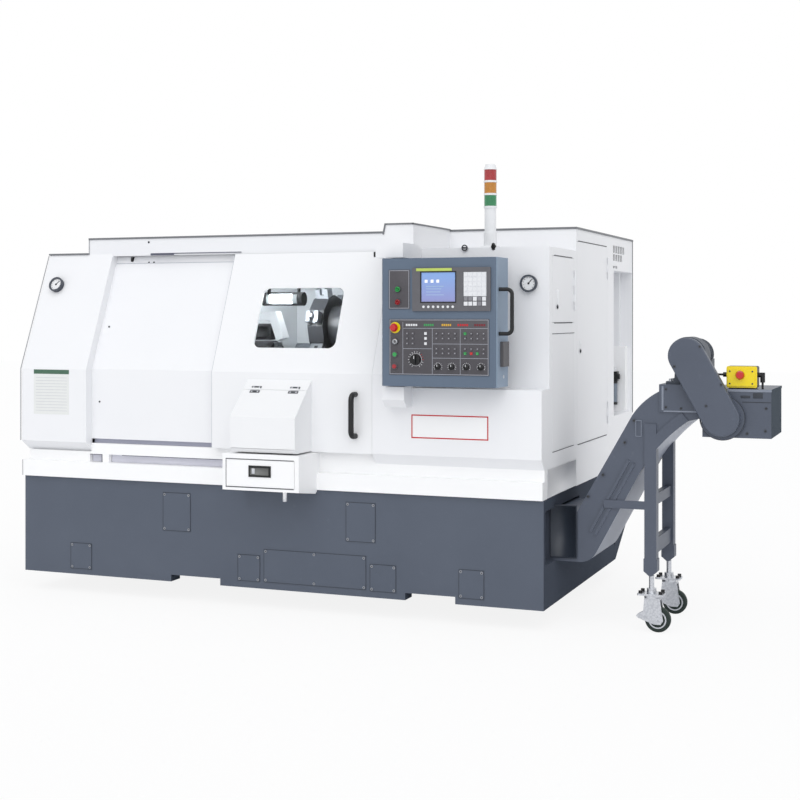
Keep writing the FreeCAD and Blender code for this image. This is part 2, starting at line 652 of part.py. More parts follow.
def make_front_roof():
    front = lean_y(FRONT_ROOF_Z, FRONT_Y)
    plate = block(LEFT_GUARD_RIGHT, HOOD_LEFT + 2, front, REAR_FRONT_Y,
                  FRONT_ROOF_Z - SHEET, FRONT_ROOF_Z)
    lip_depth = 8.0
    channel = [block(LEFT_GUARD_RIGHT, DOOR_RIGHT, y, y + 5, FRONT_ROOF_Z - SHEET - lip_depth,
                     FRONT_ROOF_Z - SHEET) for y in (front + 1, front + 32)]
    outer = prism_y([(HOOD_LEFT, HOUSING_TOP), (HOOD_RIGHT, HOUSING_TOP), (HOOD_RIGHT, HOOD_TOP),
                     (HOOD_TOP_LEFT, HOOD_TOP)], HOOD_FRONT, REAR_FRONT_Y)
    inner = prism_y([(HOOD_LEFT + SHEET, HOUSING_TOP - 1), (HOOD_RIGHT - SHEET, HOUSING_TOP - 1),
                     (HOOD_RIGHT - SHEET, HOOD_TOP - SHEET),
                     (HOOD_TOP_LEFT + SHEET, HOOD_TOP - SHEET)],
                    HOOD_FRONT + SHEET, REAR_FRONT_Y + 1)
    return join(plate, outer.cut(inner), *channel)


def outline_groove(x, y0, y1, z0, z1, width=3.0, depth=2.0):
    """A shallow rectangular groove in a side wall at x."""
    ring = block(x - depth, x + 1, y0, y1, z0, z1)
    return ring.cut(block(x - depth - 1, x + 2, y0 + width, y1 - width, z0 + width, z1 - width))


def make_right_housing():
    profile = [(SILL_UPPER_FRONT, SILL_GUARD_TOP), (REAR_FRONT_Y, SILL_GUARD_TOP),
               (REAR_FRONT_Y, HOUSING_TOP), (UPPER_FRONT_Y, HOUSING_TOP),
               (UPPER_FRONT_Y, LEDGE_Z), (FRONT_Y, LEDGE_Z), (FRONT_Y, GUARD_CHAMFER_TOP)]
    inner = inset(profile, SHEET)
    inner[1] = (REAR_FRONT_Y + 1, inner[1][1])
    inner[2] = (REAR_FRONT_Y + 1, inner[2][1])
    shell = prism_x(profile, HOUSING_LEFT, 0).cut(
        prism_x(inner, HOUSING_LEFT - 1, -REAR_WALL))
    y0, y1, z0, z1 = SERVICE_DOOR
    cuts = [block(-REAR_WALL - 1, 1, y0, y1, z0, z1),
            block(HOUSING_LEFT - 1, CHAMBER_RIGHT, SILL_BACK, REAR_FRONT_Y + 1,
                  SILL_GUARD_TOP - 1, SILL_GUARD_TOP + SHEET + 1),
            outline_groove(0, *SERVICE_PANEL)]
    left, right, bottom, top = UPPER_ARM
    arm = block(left, right, ARM_FRONT, UPPER_FRONT_Y, bottom, top)
    arm = arm.cut(block(left - 1, right + 1, HOOD_FRONT, UPPER_FRONT_Y + 1, HOUSING_TOP, top + 1))
    upper_pin = rod_z(CONTROL_TOP - PIVOT_DEPTH, bottom, PIVOT_X, PIVOT_Y, PIVOT_RADIUS)
    left, right, bottom, top = LOWER_ARM
    chamfer = LOWER_ARM_CHAMFER
    lower = prism_x([(FRONT_Y, bottom), (FRONT_Y, top), (ARM_FRONT, top),
                     (ARM_FRONT, bottom + chamfer), (ARM_FRONT + chamfer, bottom)], left, right)
    lower_pin = rod_z(top, CONTROL_BOTTOM + PIVOT_DEPTH, PIVOT_X, PIVOT_Y, PIVOT_RADIUS)
    frame_leaves = side_hinge(SERVICE_DOOR, False)
    pieces = [make_column(), arm, upper_pin, lower, lower_pin] + frame_leaves
    housing = join(shell.cut(cuts), *pieces)
    behind = block(HOUSING_LEFT + SHEET, COLUMN_RIGHT - SHEET, UPPER_FRONT_Y - 1,
                   UPPER_FRONT_Y + SHEET + 1, LEDGE_Z + SHEET, KNEE_Z)
    return housing.cut(behind)


def make_column():
    """The hollow column that carries the front's lean on beside the door."""
    top = KNEE_Z + (UPPER_FRONT_Y - FRONT_Y) / TAN_LEAN
    profile = [(FRONT_Y, LEDGE_Z), (UPPER_FRONT_Y, LEDGE_Z), (UPPER_FRONT_Y, top),
               (FRONT_Y, KNEE_Z)]
    inner = inset(profile, SHEET)
    inner[1] = (UPPER_FRONT_Y + 1, inner[1][1])
    inner[2] = (UPPER_FRONT_Y + 1, inner[2][1])
    return prism_x(profile, HOUSING_LEFT, COLUMN_RIGHT).cut(
        prism_x(inner, HOUSING_LEFT + SHEET, COLUMN_RIGHT - SHEET))


def side_hinge(opening, for_door):
    """The barrels and leaves of two hinges at the rear edge of a side door."""
    y1, z0, z1 = opening[1], opening[2], opening[3]
    axis_x = HINGE_STANDOFF
    length = HINGE_SEGMENT
    leaf = HINGE_LEAF
    pieces = []
    for z in (z0 + 60, z1 - 60 - 3 * length):
        starts = (z + length + RUN_GAP,) if for_door else (z, z + 2 * length + 2 * RUN_GAP)
        for start in starts:
            barrel = rod_z(start, start + length, axis_x, y1, SIDE_HINGE_RADIUS)
            if for_door:
                plate = block(0, 3, y1 - leaf, y1, start, start + length)
            else:
                plate = block(0, 3, y1, y1 + leaf, start, start + length)
            pieces.append(join(barrel, plate))
    return pieces


def side_door(opening, latch_place):
    y0, y1, z0, z1 = opening
    play = DOOR_PLAY
    plate = block(-SIDE_DOOR_THICKNESS, 0, y0 + play, y1 - play, z0 + play, z1 - play)
    plate = plate.cut(block(-SIDE_DOOR_THICKNESS - 1, -SHEET, y0 + 26, y1 - 26,
                            z0 + 26, z1 - 26))
    y, z, length = latch_place
    latch = rounded_block(0, 4, y - LATCH_WIDTH / 2, y + LATCH_WIDTH / 2, z - length / 2,
                          z + length / 2, 8.0, V(1, 0, 0))
    return join(plate, latch, *side_hinge(opening, True))


def make_rear_cabinet():
    wall = REAR_WALL
    outer = block(-BASE_LENGTH, 0, REAR_FRONT_Y, REAR_BACK_Y, BASE_HEIGHT, REAR_ROOF_Z)
    inner = block(-BASE_LENGTH + wall, -wall, REAR_FRONT_Y + wall, REAR_BACK_Y - wall,
                  BASE_HEIGHT - 1, REAR_ROOF_Z - wall)
    shell = outer.cut(inner)
    partition = block(CHAMBER_RIGHT, CHAMBER_RIGHT + wall, REAR_FRONT_Y, REAR_BACK_Y - wall / 2,
                      BASE_HEIGHT, REAR_ROOF_Z - wall / 2)
    y0, y1, z0, z1 = CABINET_DOOR
    divider = block(CHAMBER_RIGHT, -wall / 2, y1 + 15, y1 + 15 + wall, BASE_HEIGHT,
                    REAR_ROOF_Z - wall / 2)
    depth = BAY_DEPTH
    b0, b1, c0, c1 = BAY
    bay_box = block(-depth - wall, -wall / 2, b0 - wall, b1 + wall / 2, c0 - wall, c1 + wall)
    shell = join(shell, partition, divider, bay_box)
    cuts = [block(-depth, 1, b0, b1, c0, c1),
            block(-wall - 1, 1, y0, y1, z0, z1),
            block(BED_LEFT - 10, CHAMBER_RIGHT, REAR_FRONT_Y - 1, REAR_FRONT_Y + wall + 1,
                  BASE_HEIGHT - 1, HOUSING_TOP - wall)]
    for (low, high), count in zip(LOUVRE_ROWS, LOUVRE_COUNTS):
        for k in range(count):
            y = LOUVRE_START + k * LOUVRE_PITCH
            cuts.append(block(-wall - 1, 1, y, y + LOUVRE_SIZE, low, high))
    pitch = (BASE_LENGTH - 200) / REAR_PANELS
    for k in range(REAR_PANELS):
        x = -BASE_LENGTH + 150 + k * pitch
        cuts.append(rear_seam(x, x + pitch - 100, BASE_HEIGHT + 60, REAR_ROOF_Z - 60))
    cabinet = shell.cut(cuts)
    gear_depth = 60.0
    gear = []
    for row in range(4):
        for column in range(2):
            y = y0 + 60 + column * 290
            z = z0 + 60 + row * 240
            gear.append(block(CHAMBER_RIGHT + wall, CHAMBER_RIGHT + wall + gear_depth,
                              y, y + 230, z, z + 170))
    strip = block(DUCT[0], DUCT[1], b1 - 40, b1, AIR_PANEL_TOP, c1)
    return join(cabinet, strip, *(gear + side_hinge(CABINET_DOOR, False)))


def rear_seam(x0, x1, z0, z1, width=4.0, depth=2.0):
    """A shallow seam round a removable panel on the back."""
    y = REAR_BACK_Y
    ring = block(x0, x1, y - depth, y + 1, z0, z1)
    return ring.cut(block(x0 + width, x1 - width, y - depth - 1, y + 2, z0 + width, z1 - width))


def make_air_unit():
    back, floor = BAY[1], BAY[2]
    radius = AIR_BOWL_RADIUS
    face = back - AIR_PANEL_DEPTH
    x, y = AIR_UNIT_X, face - radius - 6
    panel = block(DUCT[0], AIR_PANEL_RIGHT, face, back, floor, AIR_PANEL_TOP)
    bowl = rod_z(floor + 40, floor + 180, x, y, radius)
    head = block(x - radius - 2, x + radius + 2, y - radius - 2, face, floor + 180, floor + 235)
    knob = rod_z(floor + 235, floor + 262, x, y, radius * 0.75)
    dial = rod_x(x + radius + 2, x + radius + 14, y, floor + 205, 15.0)
    return join(panel, head, bowl, knob, dial)


def make_chamber_walls():
    top = HOUSING_TOP - REAR_WALL - 2
    gap = 6.0
    sill_y, sill_z = SILL_BACK, SILL_DOOR_TOP - SHEET - 2
    under = [(CHUTE_FRONT + SHEET, BASE_HEIGHT), (CHAMBER_REAR, BASE_HEIGHT),
             (CHAMBER_REAR, top)]
    behind_panel = RECESS_Y + SHEET + 60 + gap
    over_groove, behind_groove = RECESS_BOTTOM + SHEET + gap, GROOVE_BACK + SHEET + gap
    left_profile = under + [(lean_y(top, behind_panel), top), (behind_panel, KNEE_Z),
                            (behind_panel, over_groove), (behind_groove, over_groove),
                            (behind_groove, sill_z), (sill_y + SHEET, sill_z)]
    behind_front = UPPER_FRONT_Y + SHEET + gap
    right_profile = under + [(behind_front, top), (behind_front, LEDGE_Z - SHEET - gap),
                             (sill_y + SHEET, LEDGE_Z - SHEET - gap), (sill_y + SHEET, sill_z)]
    left = prism_x(left_profile, CHAMBER_LEFT - SHEET, CHAMBER_LEFT)
    right = prism_x(right_profile, CHAMBER_RIGHT - SHEET, CHAMBER_RIGHT)
    left = left.cut(rod_x(CHAMBER_LEFT - 2 * SHEET, CHAMBER_LEFT + 1, SPINDLE_Y, SPINDLE_Z,
                          SPINDLE_FLANGE_RADIUS + 10))
    front = prism_x(folded([(sill_y, sill_z), (CHUTE_FRONT + 40, BASE_HEIGHT),
                            (CONVEYOR_FRONT + CONVEYOR_WALL + 6, TROUGH_TOP + 4)], SHEET),
                    CHAMBER_LEFT, CHAMBER_RIGHT - SHEET)
    rear_sheet = block(CHAMBER_LEFT, CHAMBER_RIGHT - SHEET, CHAMBER_REAR - SHEET, CHAMBER_REAR,
                       SPINDLE_Z + 160, top)
    walls = join(left, right, front, rear_sheet)
    return walls.cut(bed_body())


# ---- machining unit ---------------------------------------------------------
def bed_point(u, n=0.0):
    slope = math.radians(SLANT)
    y = SPINDLE_Y + SPINDLE_HEIGHT * math.sin(slope) + u * math.cos(slope) - n * math.sin(slope)
    z = SPINDLE_Z - SPINDLE_HEIGHT * math.cos(slope) + u * math.sin(slope) + n * math.cos(slope)
    return (y, z)


def bed_body():
    low, high = bed_point(BED_LOW), bed_point(BED_HIGH)
    profile = [(low[0], BASE_HEIGHT), (BED_BACK, BASE_HEIGHT), (BED_BACK, high[1]), high, low]
    wall = BED_CORE_WALL
    front, back = low[0] + wall, BED_BACK - wall
    drop = wall / math.cos(math.radians(SLANT))
    core = [(front, BASE_HEIGHT + wall), (back, BASE_HEIGHT + wall),
            (back, low[1] + back - low[0] - drop), (front, low[1] + wall - drop)]
    body = prism_x(profile, BED_LEFT, BED_RIGHT)
    body = body.cut(prism_x(core, BED_LEFT - 1, BED_RIGHT + 1))
    ways = [on_bed(block(WAYS_LEFT, BED_RIGHT, u0, u1, 0, WAY_HEIGHT)) for u0, u1 in WAYS]
    return join(body, *ways)


def make_headstock():
    foot = block(BED_LEFT, HEADSTOCK_RIGHT, BED_LOW, 260.0, 0, 60.0)
    column = block(BED_LEFT + 20, HEADSTOCK_RIGHT, -HEADSTOCK_RADIUS * 0.8, HEADSTOCK_RADIUS,
                   0, SPINDLE_HEIGHT)
    barrel = rod_x(BED_LEFT + 20, HEADSTOCK_RIGHT, 0, SPINDLE_HEIGHT, HEADSTOCK_RADIUS)
    nose = rod_x(HEADSTOCK_RIGHT, HEADSTOCK_RIGHT + 12, 0, SPINDLE_HEIGHT,
                 SPINDLE_RADIUS + 30)
    ribs = [block(x, x + 25, HEADSTOCK_RADIUS - 20, 250.0, 50, SPINDLE_HEIGHT - 60)
            for x in (BED_LEFT + 60, (BED_LEFT + HEADSTOCK_RIGHT) / 2, HEADSTOCK_RIGHT - 85)]
    bore = rod_x(BED_LEFT - 1, HEADSTOCK_RIGHT + 20, 0, SPINDLE_HEIGHT,
                 SPINDLE_RADIUS + RUNNING_PLAY)
    return on_bed(join(foot, column, barrel, nose, *ribs).cut(bore))


def revolved_x(points):
    """An (x, radius) outline turned about the spindle axis."""
    corners = [V(x, SPINDLE_Y + r, SPINDLE_Z) for x, r in points]
    face = Part.Face(Part.makePolygon(corners + corners[:1]))
    return face.revolve(V(0, SPINDLE_Y, SPINDLE_Z), V(1, 0, 0), 360)


def jaw_angles():
    return [90.0 + 360.0 * k / JAW_COUNT for k in range(JAW_COUNT)]


def turned(shape, angle):
    """Turns a piece drawn at +Y of the spindle to an angle about it."""
    shape = shape.copy()
    shape.rotate(V(0, SPINDLE_Y, SPINDLE_Z), V(1, 0, 0), angle)
    return shape


def make_chuck_body():
    bore = SPINDLE_BORE_RADIUS
    edge = 12.0
    body = revolved_x([
        (BED_LEFT, bore), (BED_LEFT, SPINDLE_RADIUS), (HEADSTOCK_RIGHT + 14, SPINDLE_RADIUS),
        (HEADSTOCK_RIGHT + 14, SPINDLE_FLANGE_RADIUS), (CHUCK_LEFT, SPINDLE_FLANGE_RADIUS),
        (CHUCK_LEFT, CHUCK_RADIUS - edge), (CHUCK_LEFT + edge, CHUCK_RADIUS),
        (CHUCK_RIGHT - edge, CHUCK_RADIUS), (CHUCK_RIGHT, CHUCK_RADIUS - edge),
        (CHUCK_RIGHT, bore)])
    half = JAW_WIDTH / 2 + RUN_GAP
    slot = block(CHUCK_RIGHT - JAW_SLOT_DEPTH, CHUCK_RIGHT + 1, SPINDLE_Y + bore - 16,
                 SPINDLE_Y + CHUCK_RADIUS + 10, SPINDLE_Z - half, SPINDLE_Z + half)
    return body.cut([turned(slot, a) for a in jaw_angles()])


def make_chuck_jaw(angle):
    foot = CHUCK_RIGHT - JAW_SLOT_DEPTH + RUN_GAP
    tip = foot + JAW_LENGTH
    rise = (JAW_LENGTH - JAW_SLOT_DEPTH) / 3
    profile = [(foot, JAW_INNER), (foot, JAW_OUTER), (tip - 2 * rise, JAW_OUTER),
               (tip - 2 * rise, JAW_OUTER - JAW_STEP), (tip - rise, JAW_OUTER - JAW_STEP),
               (tip - rise, JAW_OUTER - 2 * JAW_STEP), (tip, JAW_OUTER - 2 * JAW_STEP),
               (tip, JAW_INNER)]
    corners = [V(x, SPINDLE_Y + r, SPINDLE_Z - JAW_WIDTH / 2) for x, r in profile]
    jaw = Part.Face(Part.makePolygon(corners + corners[:1])).extrude(V(0, 0, JAW_WIDTH))
    return turned(jaw, angle)


def make_saddle():
    bottom = WAY_HEIGHT + RUN_GAP
    top_end = CROSS_CENTRE + CROSS_HALF + 20
    low_end = WAYS[0][0] - RUN_GAP - SADDLE_SKIRT
    plate = block(SADDLE_LEFT, SADDLE_RIGHT, low_end, top_end, bottom, SADDLE_TOP)
    low_skirt = block(SADDLE_LEFT, SADDLE_RIGHT, low_end, low_end + SADDLE_SKIRT, 4, SADDLE_TOP)
    way_edge = WAYS[-1][1] + RUN_GAP
    high_skirt = block(SADDLE_LEFT, SADDLE_RIGHT, way_edge, way_edge + SADDLE_SKIRT,
                       4, SADDLE_TOP)
    rails = [block(x, x + CROSS_RAIL_WIDTH, -100, top_end, SADDLE_TOP,
                   SADDLE_TOP + CROSS_RAIL_HEIGHT)
             for x in (SADDLE_LEFT + 10, SADDLE_RIGHT - 10 - CROSS_RAIL_WIDTH)]
    return on_bed(join(plate, low_skirt, high_skirt, *rails))


def make_cross_slide():
    base_n = SADDLE_TOP + CROSS_RAIL_HEIGHT + RUN_GAP
    top_n = base_n + CROSS_THICKNESS
    low, high = CROSS_CENTRE - CROSS_HALF, CROSS_CENTRE + CROSS_HALF
    plate = block(SADDLE_LEFT + 5, SADDLE_RIGHT - 5, low, high, base_n, top_n)
    guide = block(SADDLE_LEFT + 10 + CROSS_RAIL_WIDTH + RUN_GAP,
                  SADDLE_RIGHT - 10 - CROSS_RAIL_WIDTH - RUN_GAP, low, high,
                  SADDLE_TOP + RUN_GAP, base_n)
    left = TURRET_HOUSING_LEFT
    right = left + TURRET_HOUSING_LENGTH
    column = block(left, right, CROSS_CENTRE - 100, CROSS_CENTRE + 100, top_n, SPINDLE_HEIGHT)
    head = rod_x(left, right, CROSS_CENTRE, SPINDLE_HEIGHT, TURRET_HOUSING_RADIUS)
    motor = rod_x(right, right + TURRET_MOTOR_LENGTH, CROSS_CENTRE, SPINDLE_HEIGHT,
                  TURRET_MOTOR_RADIUS)
    bore = rod_x(left - 1, left + TURRET_SHAFT_LENGTH + 10, CROSS_CENTRE, SPINDLE_HEIGHT,
                 TURRET_SHAFT_RADIUS + RUNNING_PLAY)
    return on_bed(join(plate, guide, column, head, motor).cut(bore))


def turret_angle(k, count):
    return 360.0 * k / count


def about_turret(shape, angle):
    shape = shape.copy()
    shape.rotate(V(0, CROSS_CENTRE, SPINDLE_HEIGHT), V(1, 0, 0), angle)
    return shape


def make_turret_disc():
    corner = TURRET_RADIUS / math.cos(math.pi / TURRET_FLATS)
    ring = []
    for k in range(TURRET_FLATS):
        angle = math.radians(turret_angle(k + 0.5, TURRET_FLATS))
        ring.append((CROSS_CENTRE + corner * math.cos(angle),
                     SPINDLE_HEIGHT + corner * math.sin(angle)))
    disc = prism_x(ring, TURRET_LEFT, TURRET_RIGHT)
    shaft = rod_x(TURRET_RIGHT, TURRET_HOUSING_LEFT + TURRET_SHAFT_LENGTH, CROSS_CENTRE,
                  SPINDLE_HEIGHT, TURRET_SHAFT_RADIUS)
    hub = rod_x(TURRET_LEFT - 14, TURRET_LEFT, CROSS_CENTRE, SPINDLE_HEIGHT, 58.0)
    return on_bed(join(disc, shaft, hub))


def make_tool_holders():
    middle = (TURRET_LEFT + TURRET_RIGHT) / 2
    half = HOLDER_WIDTH / 2
    start = CROSS_CENTRE + TURRET_RADIUS
    holders = []
    for k in range(HOLDER_COUNT):
        body = block(middle - 36, middle + 36, start, start + HOLDER_HEIGHT,
                     SPINDLE_HEIGHT - half, SPINDLE_HEIGHT + half)
        slot = block(middle - 12, middle + 12, start + 18, start + HOLDER_HEIGHT + 1,
                     SPINDLE_HEIGHT - half - 1, SPINDLE_HEIGHT + half + 1)
        tool = block(middle - TOOL_SIZE / 2, middle + TOOL_SIZE / 2, start + 18,
                     start + HOLDER_HEIGHT + TOOL_REACH, SPINDLE_HEIGHT - TOOL_SIZE / 2,
                     SPINDLE_HEIGHT + TOOL_SIZE / 2)
        holder = join(body.cut(slot), tool)
        holders.append(about_turret(holder, turret_angle(k, HOLDER_COUNT)))
    return group([on_bed(h) for h in holders])


def make_tailstock_body():
    bottom = WAY_HEIGHT + RUN_GAP
    low, high = WAYS[1][0] - 5, WAYS[2][1] + 5
    left, right = TAILSTOCK_LEFT, TAILSTOCK_RIGHT
    foot = block(left, right, low, high, bottom, bottom + 50)
    profile = [(-95, bottom + 50), (120, bottom + 50), (TAILSTOCK_RADIUS, SPINDLE_HEIGHT),
               (-TAILSTOCK_RADIUS, SPINDLE_HEIGHT)]
    corners = [V(left + 20, u, n) for u, n in profile]
    corners[0].y = max(low, -80)
    column = Part.Face(Part.makePolygon(corners + corners[:1])).extrude(V(right - left - 40, 0, 0))
    barrel = rod_x(left, right, 0, SPINDLE_HEIGHT, TAILSTOCK_RADIUS)
    bore = rod_x(left - 1, right + 1, 0, SPINDLE_HEIGHT, QUILL_RADIUS + RUNNING_PLAY)
    return on_bed(join(foot, column, barrel).cut(bore))


def make_tailstock_quill():
    return revolved_x([(QUILL_RIGHT, 0), (QUILL_RIGHT, QUILL_RADIUS),
                       (QUILL_LEFT + 5, QUILL_RADIUS), (QUILL_LEFT, QUILL_RADIUS - 5),
                       (QUILL_LEFT, 24), (QUILL_LEFT - 14, 24), (QUILL_LEFT - 30, 20),
                       (QUILL_LEFT - CENTRE_LENGTH, 0)])


def make_work_lamp():
    tube = rod_x(LAMP_LEFT, LAMP_RIGHT, LAMP_Y, LAMP_Z, LAMP_RADIUS)
    caps = [rod_x(x, x + LAMP_CAP, LAMP_Y, LAMP_Z, LAMP_RADIUS + 4)
            for x in (LAMP_LEFT, LAMP_RIGHT - LAMP_CAP)]
    top = FRONT_ROOF_Z - SHEET
    arms = [block(x, x + 6, LAMP_Y - 15, LAMP_Y + 15, LAMP_Z, top)
            for x in (LAMP_LEFT + LAMP_CAP, LAMP_RIGHT - LAMP_CAP - 6)]
    return join(tube, *(caps + arms))


# ---- sliding door -----------------------------------------------------------
def door_line():
    return [(FRONT_Y, DOOR_BOTTOM), (FRONT_Y, KNEE_Z), (lean_y(DOOR_TOP, FRONT_Y), DOOR_TOP)]


def window_block(grow, y0, y1, radius):
    """The window's rounded outline, grown all round, through the leaning face."""
    height = (WINDOW_TOP - WINDOW_BOTTOM) / math.cos(math.radians(LEAN))
    shape = rounded_block(-grow, WINDOW_RIGHT - WINDOW_LEFT + grow, y0, y1,
                          -grow, height + grow, radius, V(0, 1, 0))
    return on_lean(shape, WINDOW_LEFT, WINDOW_BOTTOM, FRONT_Y)


def make_sliding_door():
    line = door_line()
    slab = prism_x(folded(line, -DOOR_THICKNESS), DOOR_LEFT, DOOR_RIGHT)
    skin_line = offset_line(line, -DOOR_SKIN)
    back_line = offset_line(line, -DOOR_THICKNESS - 1)
    pocket = prism_x(skin_line + back_line[::-1], DOOR_LEFT + DOOR_RIM, DOOR_RIGHT - DOOR_RIM)
    keep = [block(DOOR_LEFT, DOOR_RIGHT, -200, 500, DOOR_BOTTOM - 60, DOOR_BOTTOM + DOOR_RIM),
            block(DOOR_LEFT, DOOR_RIGHT, -200, 500, DOOR_TOP - DOOR_RIM, DOOR_TOP + 60),
            window_block(WINDOW_LAP + WINDOW_FRAME, 0, DOOR_THICKNESS + 5,
                         WINDOW_CORNER + WINDOW_LAP)]
    pocket = pocket.cut(keep)
    door = slab.cut(pocket)
    door = door.cut([window_block(0, -5, DOOR_SKIN + 1, WINDOW_CORNER),
                     window_block(WINDOW_LAP, DOOR_SKIN, DOOR_THICKNESS + 10, WINDOW_CORNER)])
    roof_inside = FRONT_ROOF_Z - SHEET
    hanger_y = lean_y(FRONT_ROOF_Z, FRONT_Y) + 14
    hanger = block(DOOR_LEFT + 40, DOOR_RIGHT - 40, hanger_y, hanger_y + 10,
                   DOOR_TOP - 12, roof_inside - RUN_GAP)
    shoes = [block(x, x + SHOE_LENGTH, FRONT_Y + DOOR_THICKNESS - 3, SILL_UPPER_FRONT + 20,
                   SILL_DOOR_TOP + RUN_GAP, RECESS_BOTTOM - RUN_GAP)
             for x in (DOOR_LEFT + 30, DOOR_RIGHT - 30 - SHOE_LENGTH)]
    return join(door, hanger, *shoes)


def make_door_window():
    return window_block(WINDOW_LAP - 0.5, DOOR_SKIN, DOOR_SKIN + GLASS_THICKNESS,
                        WINDOW_CORNER - 0.5)


def make_door_handle():
    rise = PULL_RADIUS
    return bow(V(PULL_X, FRONT_Y, PULL_BOTTOM + rise), V(0, -PULL_REACH, 0),
               V(PULL_X, FRONT_Y, PULL_TOP - rise), PULL_RADIUS, PULL_BEND)


def catcher_slope(share):
    """A point on the catcher's sloping top, from the door to the fold."""
    return (FRONT_Y + share * (CATCHER_FRONT - FRONT_Y),
            CATCHER_TOP_Z + share * (CATCHER_FOLD_Z - CATCHER_TOP_Z))


def catcher_slope_angle():
    return math.atan2(CATCHER_TOP_Z - CATCHER_FOLD_Z, FRONT_Y - CATCHER_FRONT)


def flap_axis():
    y, z = catcher_slope(FLAP_HINGE_SHARE)
    angle = catcher_slope_angle()
    return (y - 4 * math.sin(angle), z + 4 * math.cos(angle))


def flap_barrels(for_flap, radius):
    """The barrels of the flap's two hinges: the middle one of three is the flap's."""
    y, z = flap_axis()
    barrels = []
    for x in (CATCHER_LEFT + 45, CATCHER_RIGHT - 45 - 50):
        if for_flap:
            barrels.append(rod_x(x + 16 + RUN_GAP, x + 34 - RUN_GAP, y, z, radius))
        else:
            barrels += [rod_x(x, x + 16, y, z, radius), rod_x(x + 34, x + 50, y, z, radius)]
    return barrels


def make_catcher_hood():
    angle = catcher_slope_angle()
    hinge = catcher_slope(FLAP_HINGE_SHARE)
    under = SHEET + FLAP_GAP
    step = (hinge[0] + under * math.sin(angle), hinge[1] - under * math.cos(angle))
    front, bottom = CATCHER_FRONT + under, CATCHER_BOTTOM
    drop = under / math.cos(angle) + under * math.tan(angle)
    cheek = [(FRONT_Y, bottom), (FRONT_Y, CATCHER_TOP_Z), hinge, step,
             (front, CATCHER_FOLD_Z + under * math.tan(angle) * 2 - drop),
             (front, bottom + CATCHER_CHAMFER), (front + CATCHER_CHAMFER, bottom)]
    cheeks = [prism_x(cheek, x, x + SHEET) for x in (CATCHER_LEFT, CATCHER_RIGHT - SHEET)]
    top = prism_x(folded([(FRONT_Y, CATCHER_TOP_Z), hinge], SHEET), CATCHER_LEFT, CATCHER_RIGHT)
    top = top.cut(block(CATCHER_LEFT - 1, CATCHER_RIGHT + 1, FRONT_Y, FRONT_Y + 20,
                        CATCHER_BOTTOM, CATCHER_TOP_Z + 20))
    lip = prism_x([(front, bottom + CATCHER_CHAMFER), (front + CATCHER_CHAMFER, bottom),
                   (front + CATCHER_CHAMFER, bottom + SHEET),
                   (front + SHEET, bottom + CATCHER_CHAMFER)], CATCHER_LEFT, CATCHER_RIGHT)
    hood = join(*(cheeks + [top, lip]))
    hood = hood.cut(flap_barrels(True, HINGE_RADIUS + FLAP_GAP))
    return join(hood, *flap_barrels(False, HINGE_RADIUS))


def make_catcher_flap():
    angle = catcher_slope_angle()
    hinge = catcher_slope(FLAP_HINGE_SHARE)
    start = (hinge[0] - 2 * math.cos(angle), hinge[1] - 2 * math.sin(angle))
    line = [start, catcher_slope(1.0), (CATCHER_FRONT, CATCHER_BOTTOM + CATCHER_CHAMFER + 2)]
    sheet = prism_x(folded(line, SHEET), CATCHER_LEFT, CATCHER_RIGHT)
    sheet = sheet.cut(flap_barrels(False, HINGE_RADIUS + FLAP_GAP))
    return join(sheet, *flap_barrels(True, HINGE_RADIUS))


# ---- parts box --------------------------------------------------------------
def make_parts_box():
    wall = SHEET
    profile = [(BOX_FRONT, BOX_BOTTOM), (BOX_DRAIN_Y, BOX_DRAIN_Z),
               (SILL_LOWER_FRONT, BOX_BACK_BOTTOM), (SILL_LOWER_FRONT, BOX_TOP),
               (BOX_FRONT, BOX_TOP)]
    outer = prism_x(profile, BOX_LEFT, BOX_RIGHT)
    inner = prism_x(inset(profile, wall), BOX_LEFT + wall, BOX_RIGHT - wall)
    mouth = block(DRAWER_LEFT - DRAWER_PLAY, DRAWER_RIGHT + DRAWER_PLAY, BOX_FRONT - 1,
                  BOX_FRONT + wall + 1, DRAWER_BOTTOM - DRAWER_PLAY, DRAWER_TOP + DRAWER_PLAY)
    chute = block(BOX_LEFT + 70, BOX_RIGHT - 70, BOX_FRONT + 50, SILL_LOWER_FRONT - 30,
                  BOX_TOP - wall - 1, BOX_TOP + 1)
    runners = [block(x0, x1, BOX_FRONT + 10, SILL_LOWER_FRONT - wall, DRAWER_BOTTOM - 8,
                     DRAWER_BOTTOM - RUN_GAP)
               for x0, x1 in ((BOX_LEFT + wall, DRAWER_LEFT + 30),
                              (DRAWER_RIGHT - 30, BOX_RIGHT - wall))]
    spigot = rod_z(BOX_BOTTOM - SPIGOT_LENGTH, BOX_BOTTOM, SPIGOT_X, BOX_FRONT + 30,
                   SPIGOT_RADIUS)
    back = block(BOX_LEFT, BOX_RIGHT, SILL_LOWER_FRONT, SILL_UPPER_FRONT, SILL_STEP,
                 SILL_DOOR_TOP - 2)
    return join(outer.cut([inner, mouth, chute]), back, spigot, *runners)


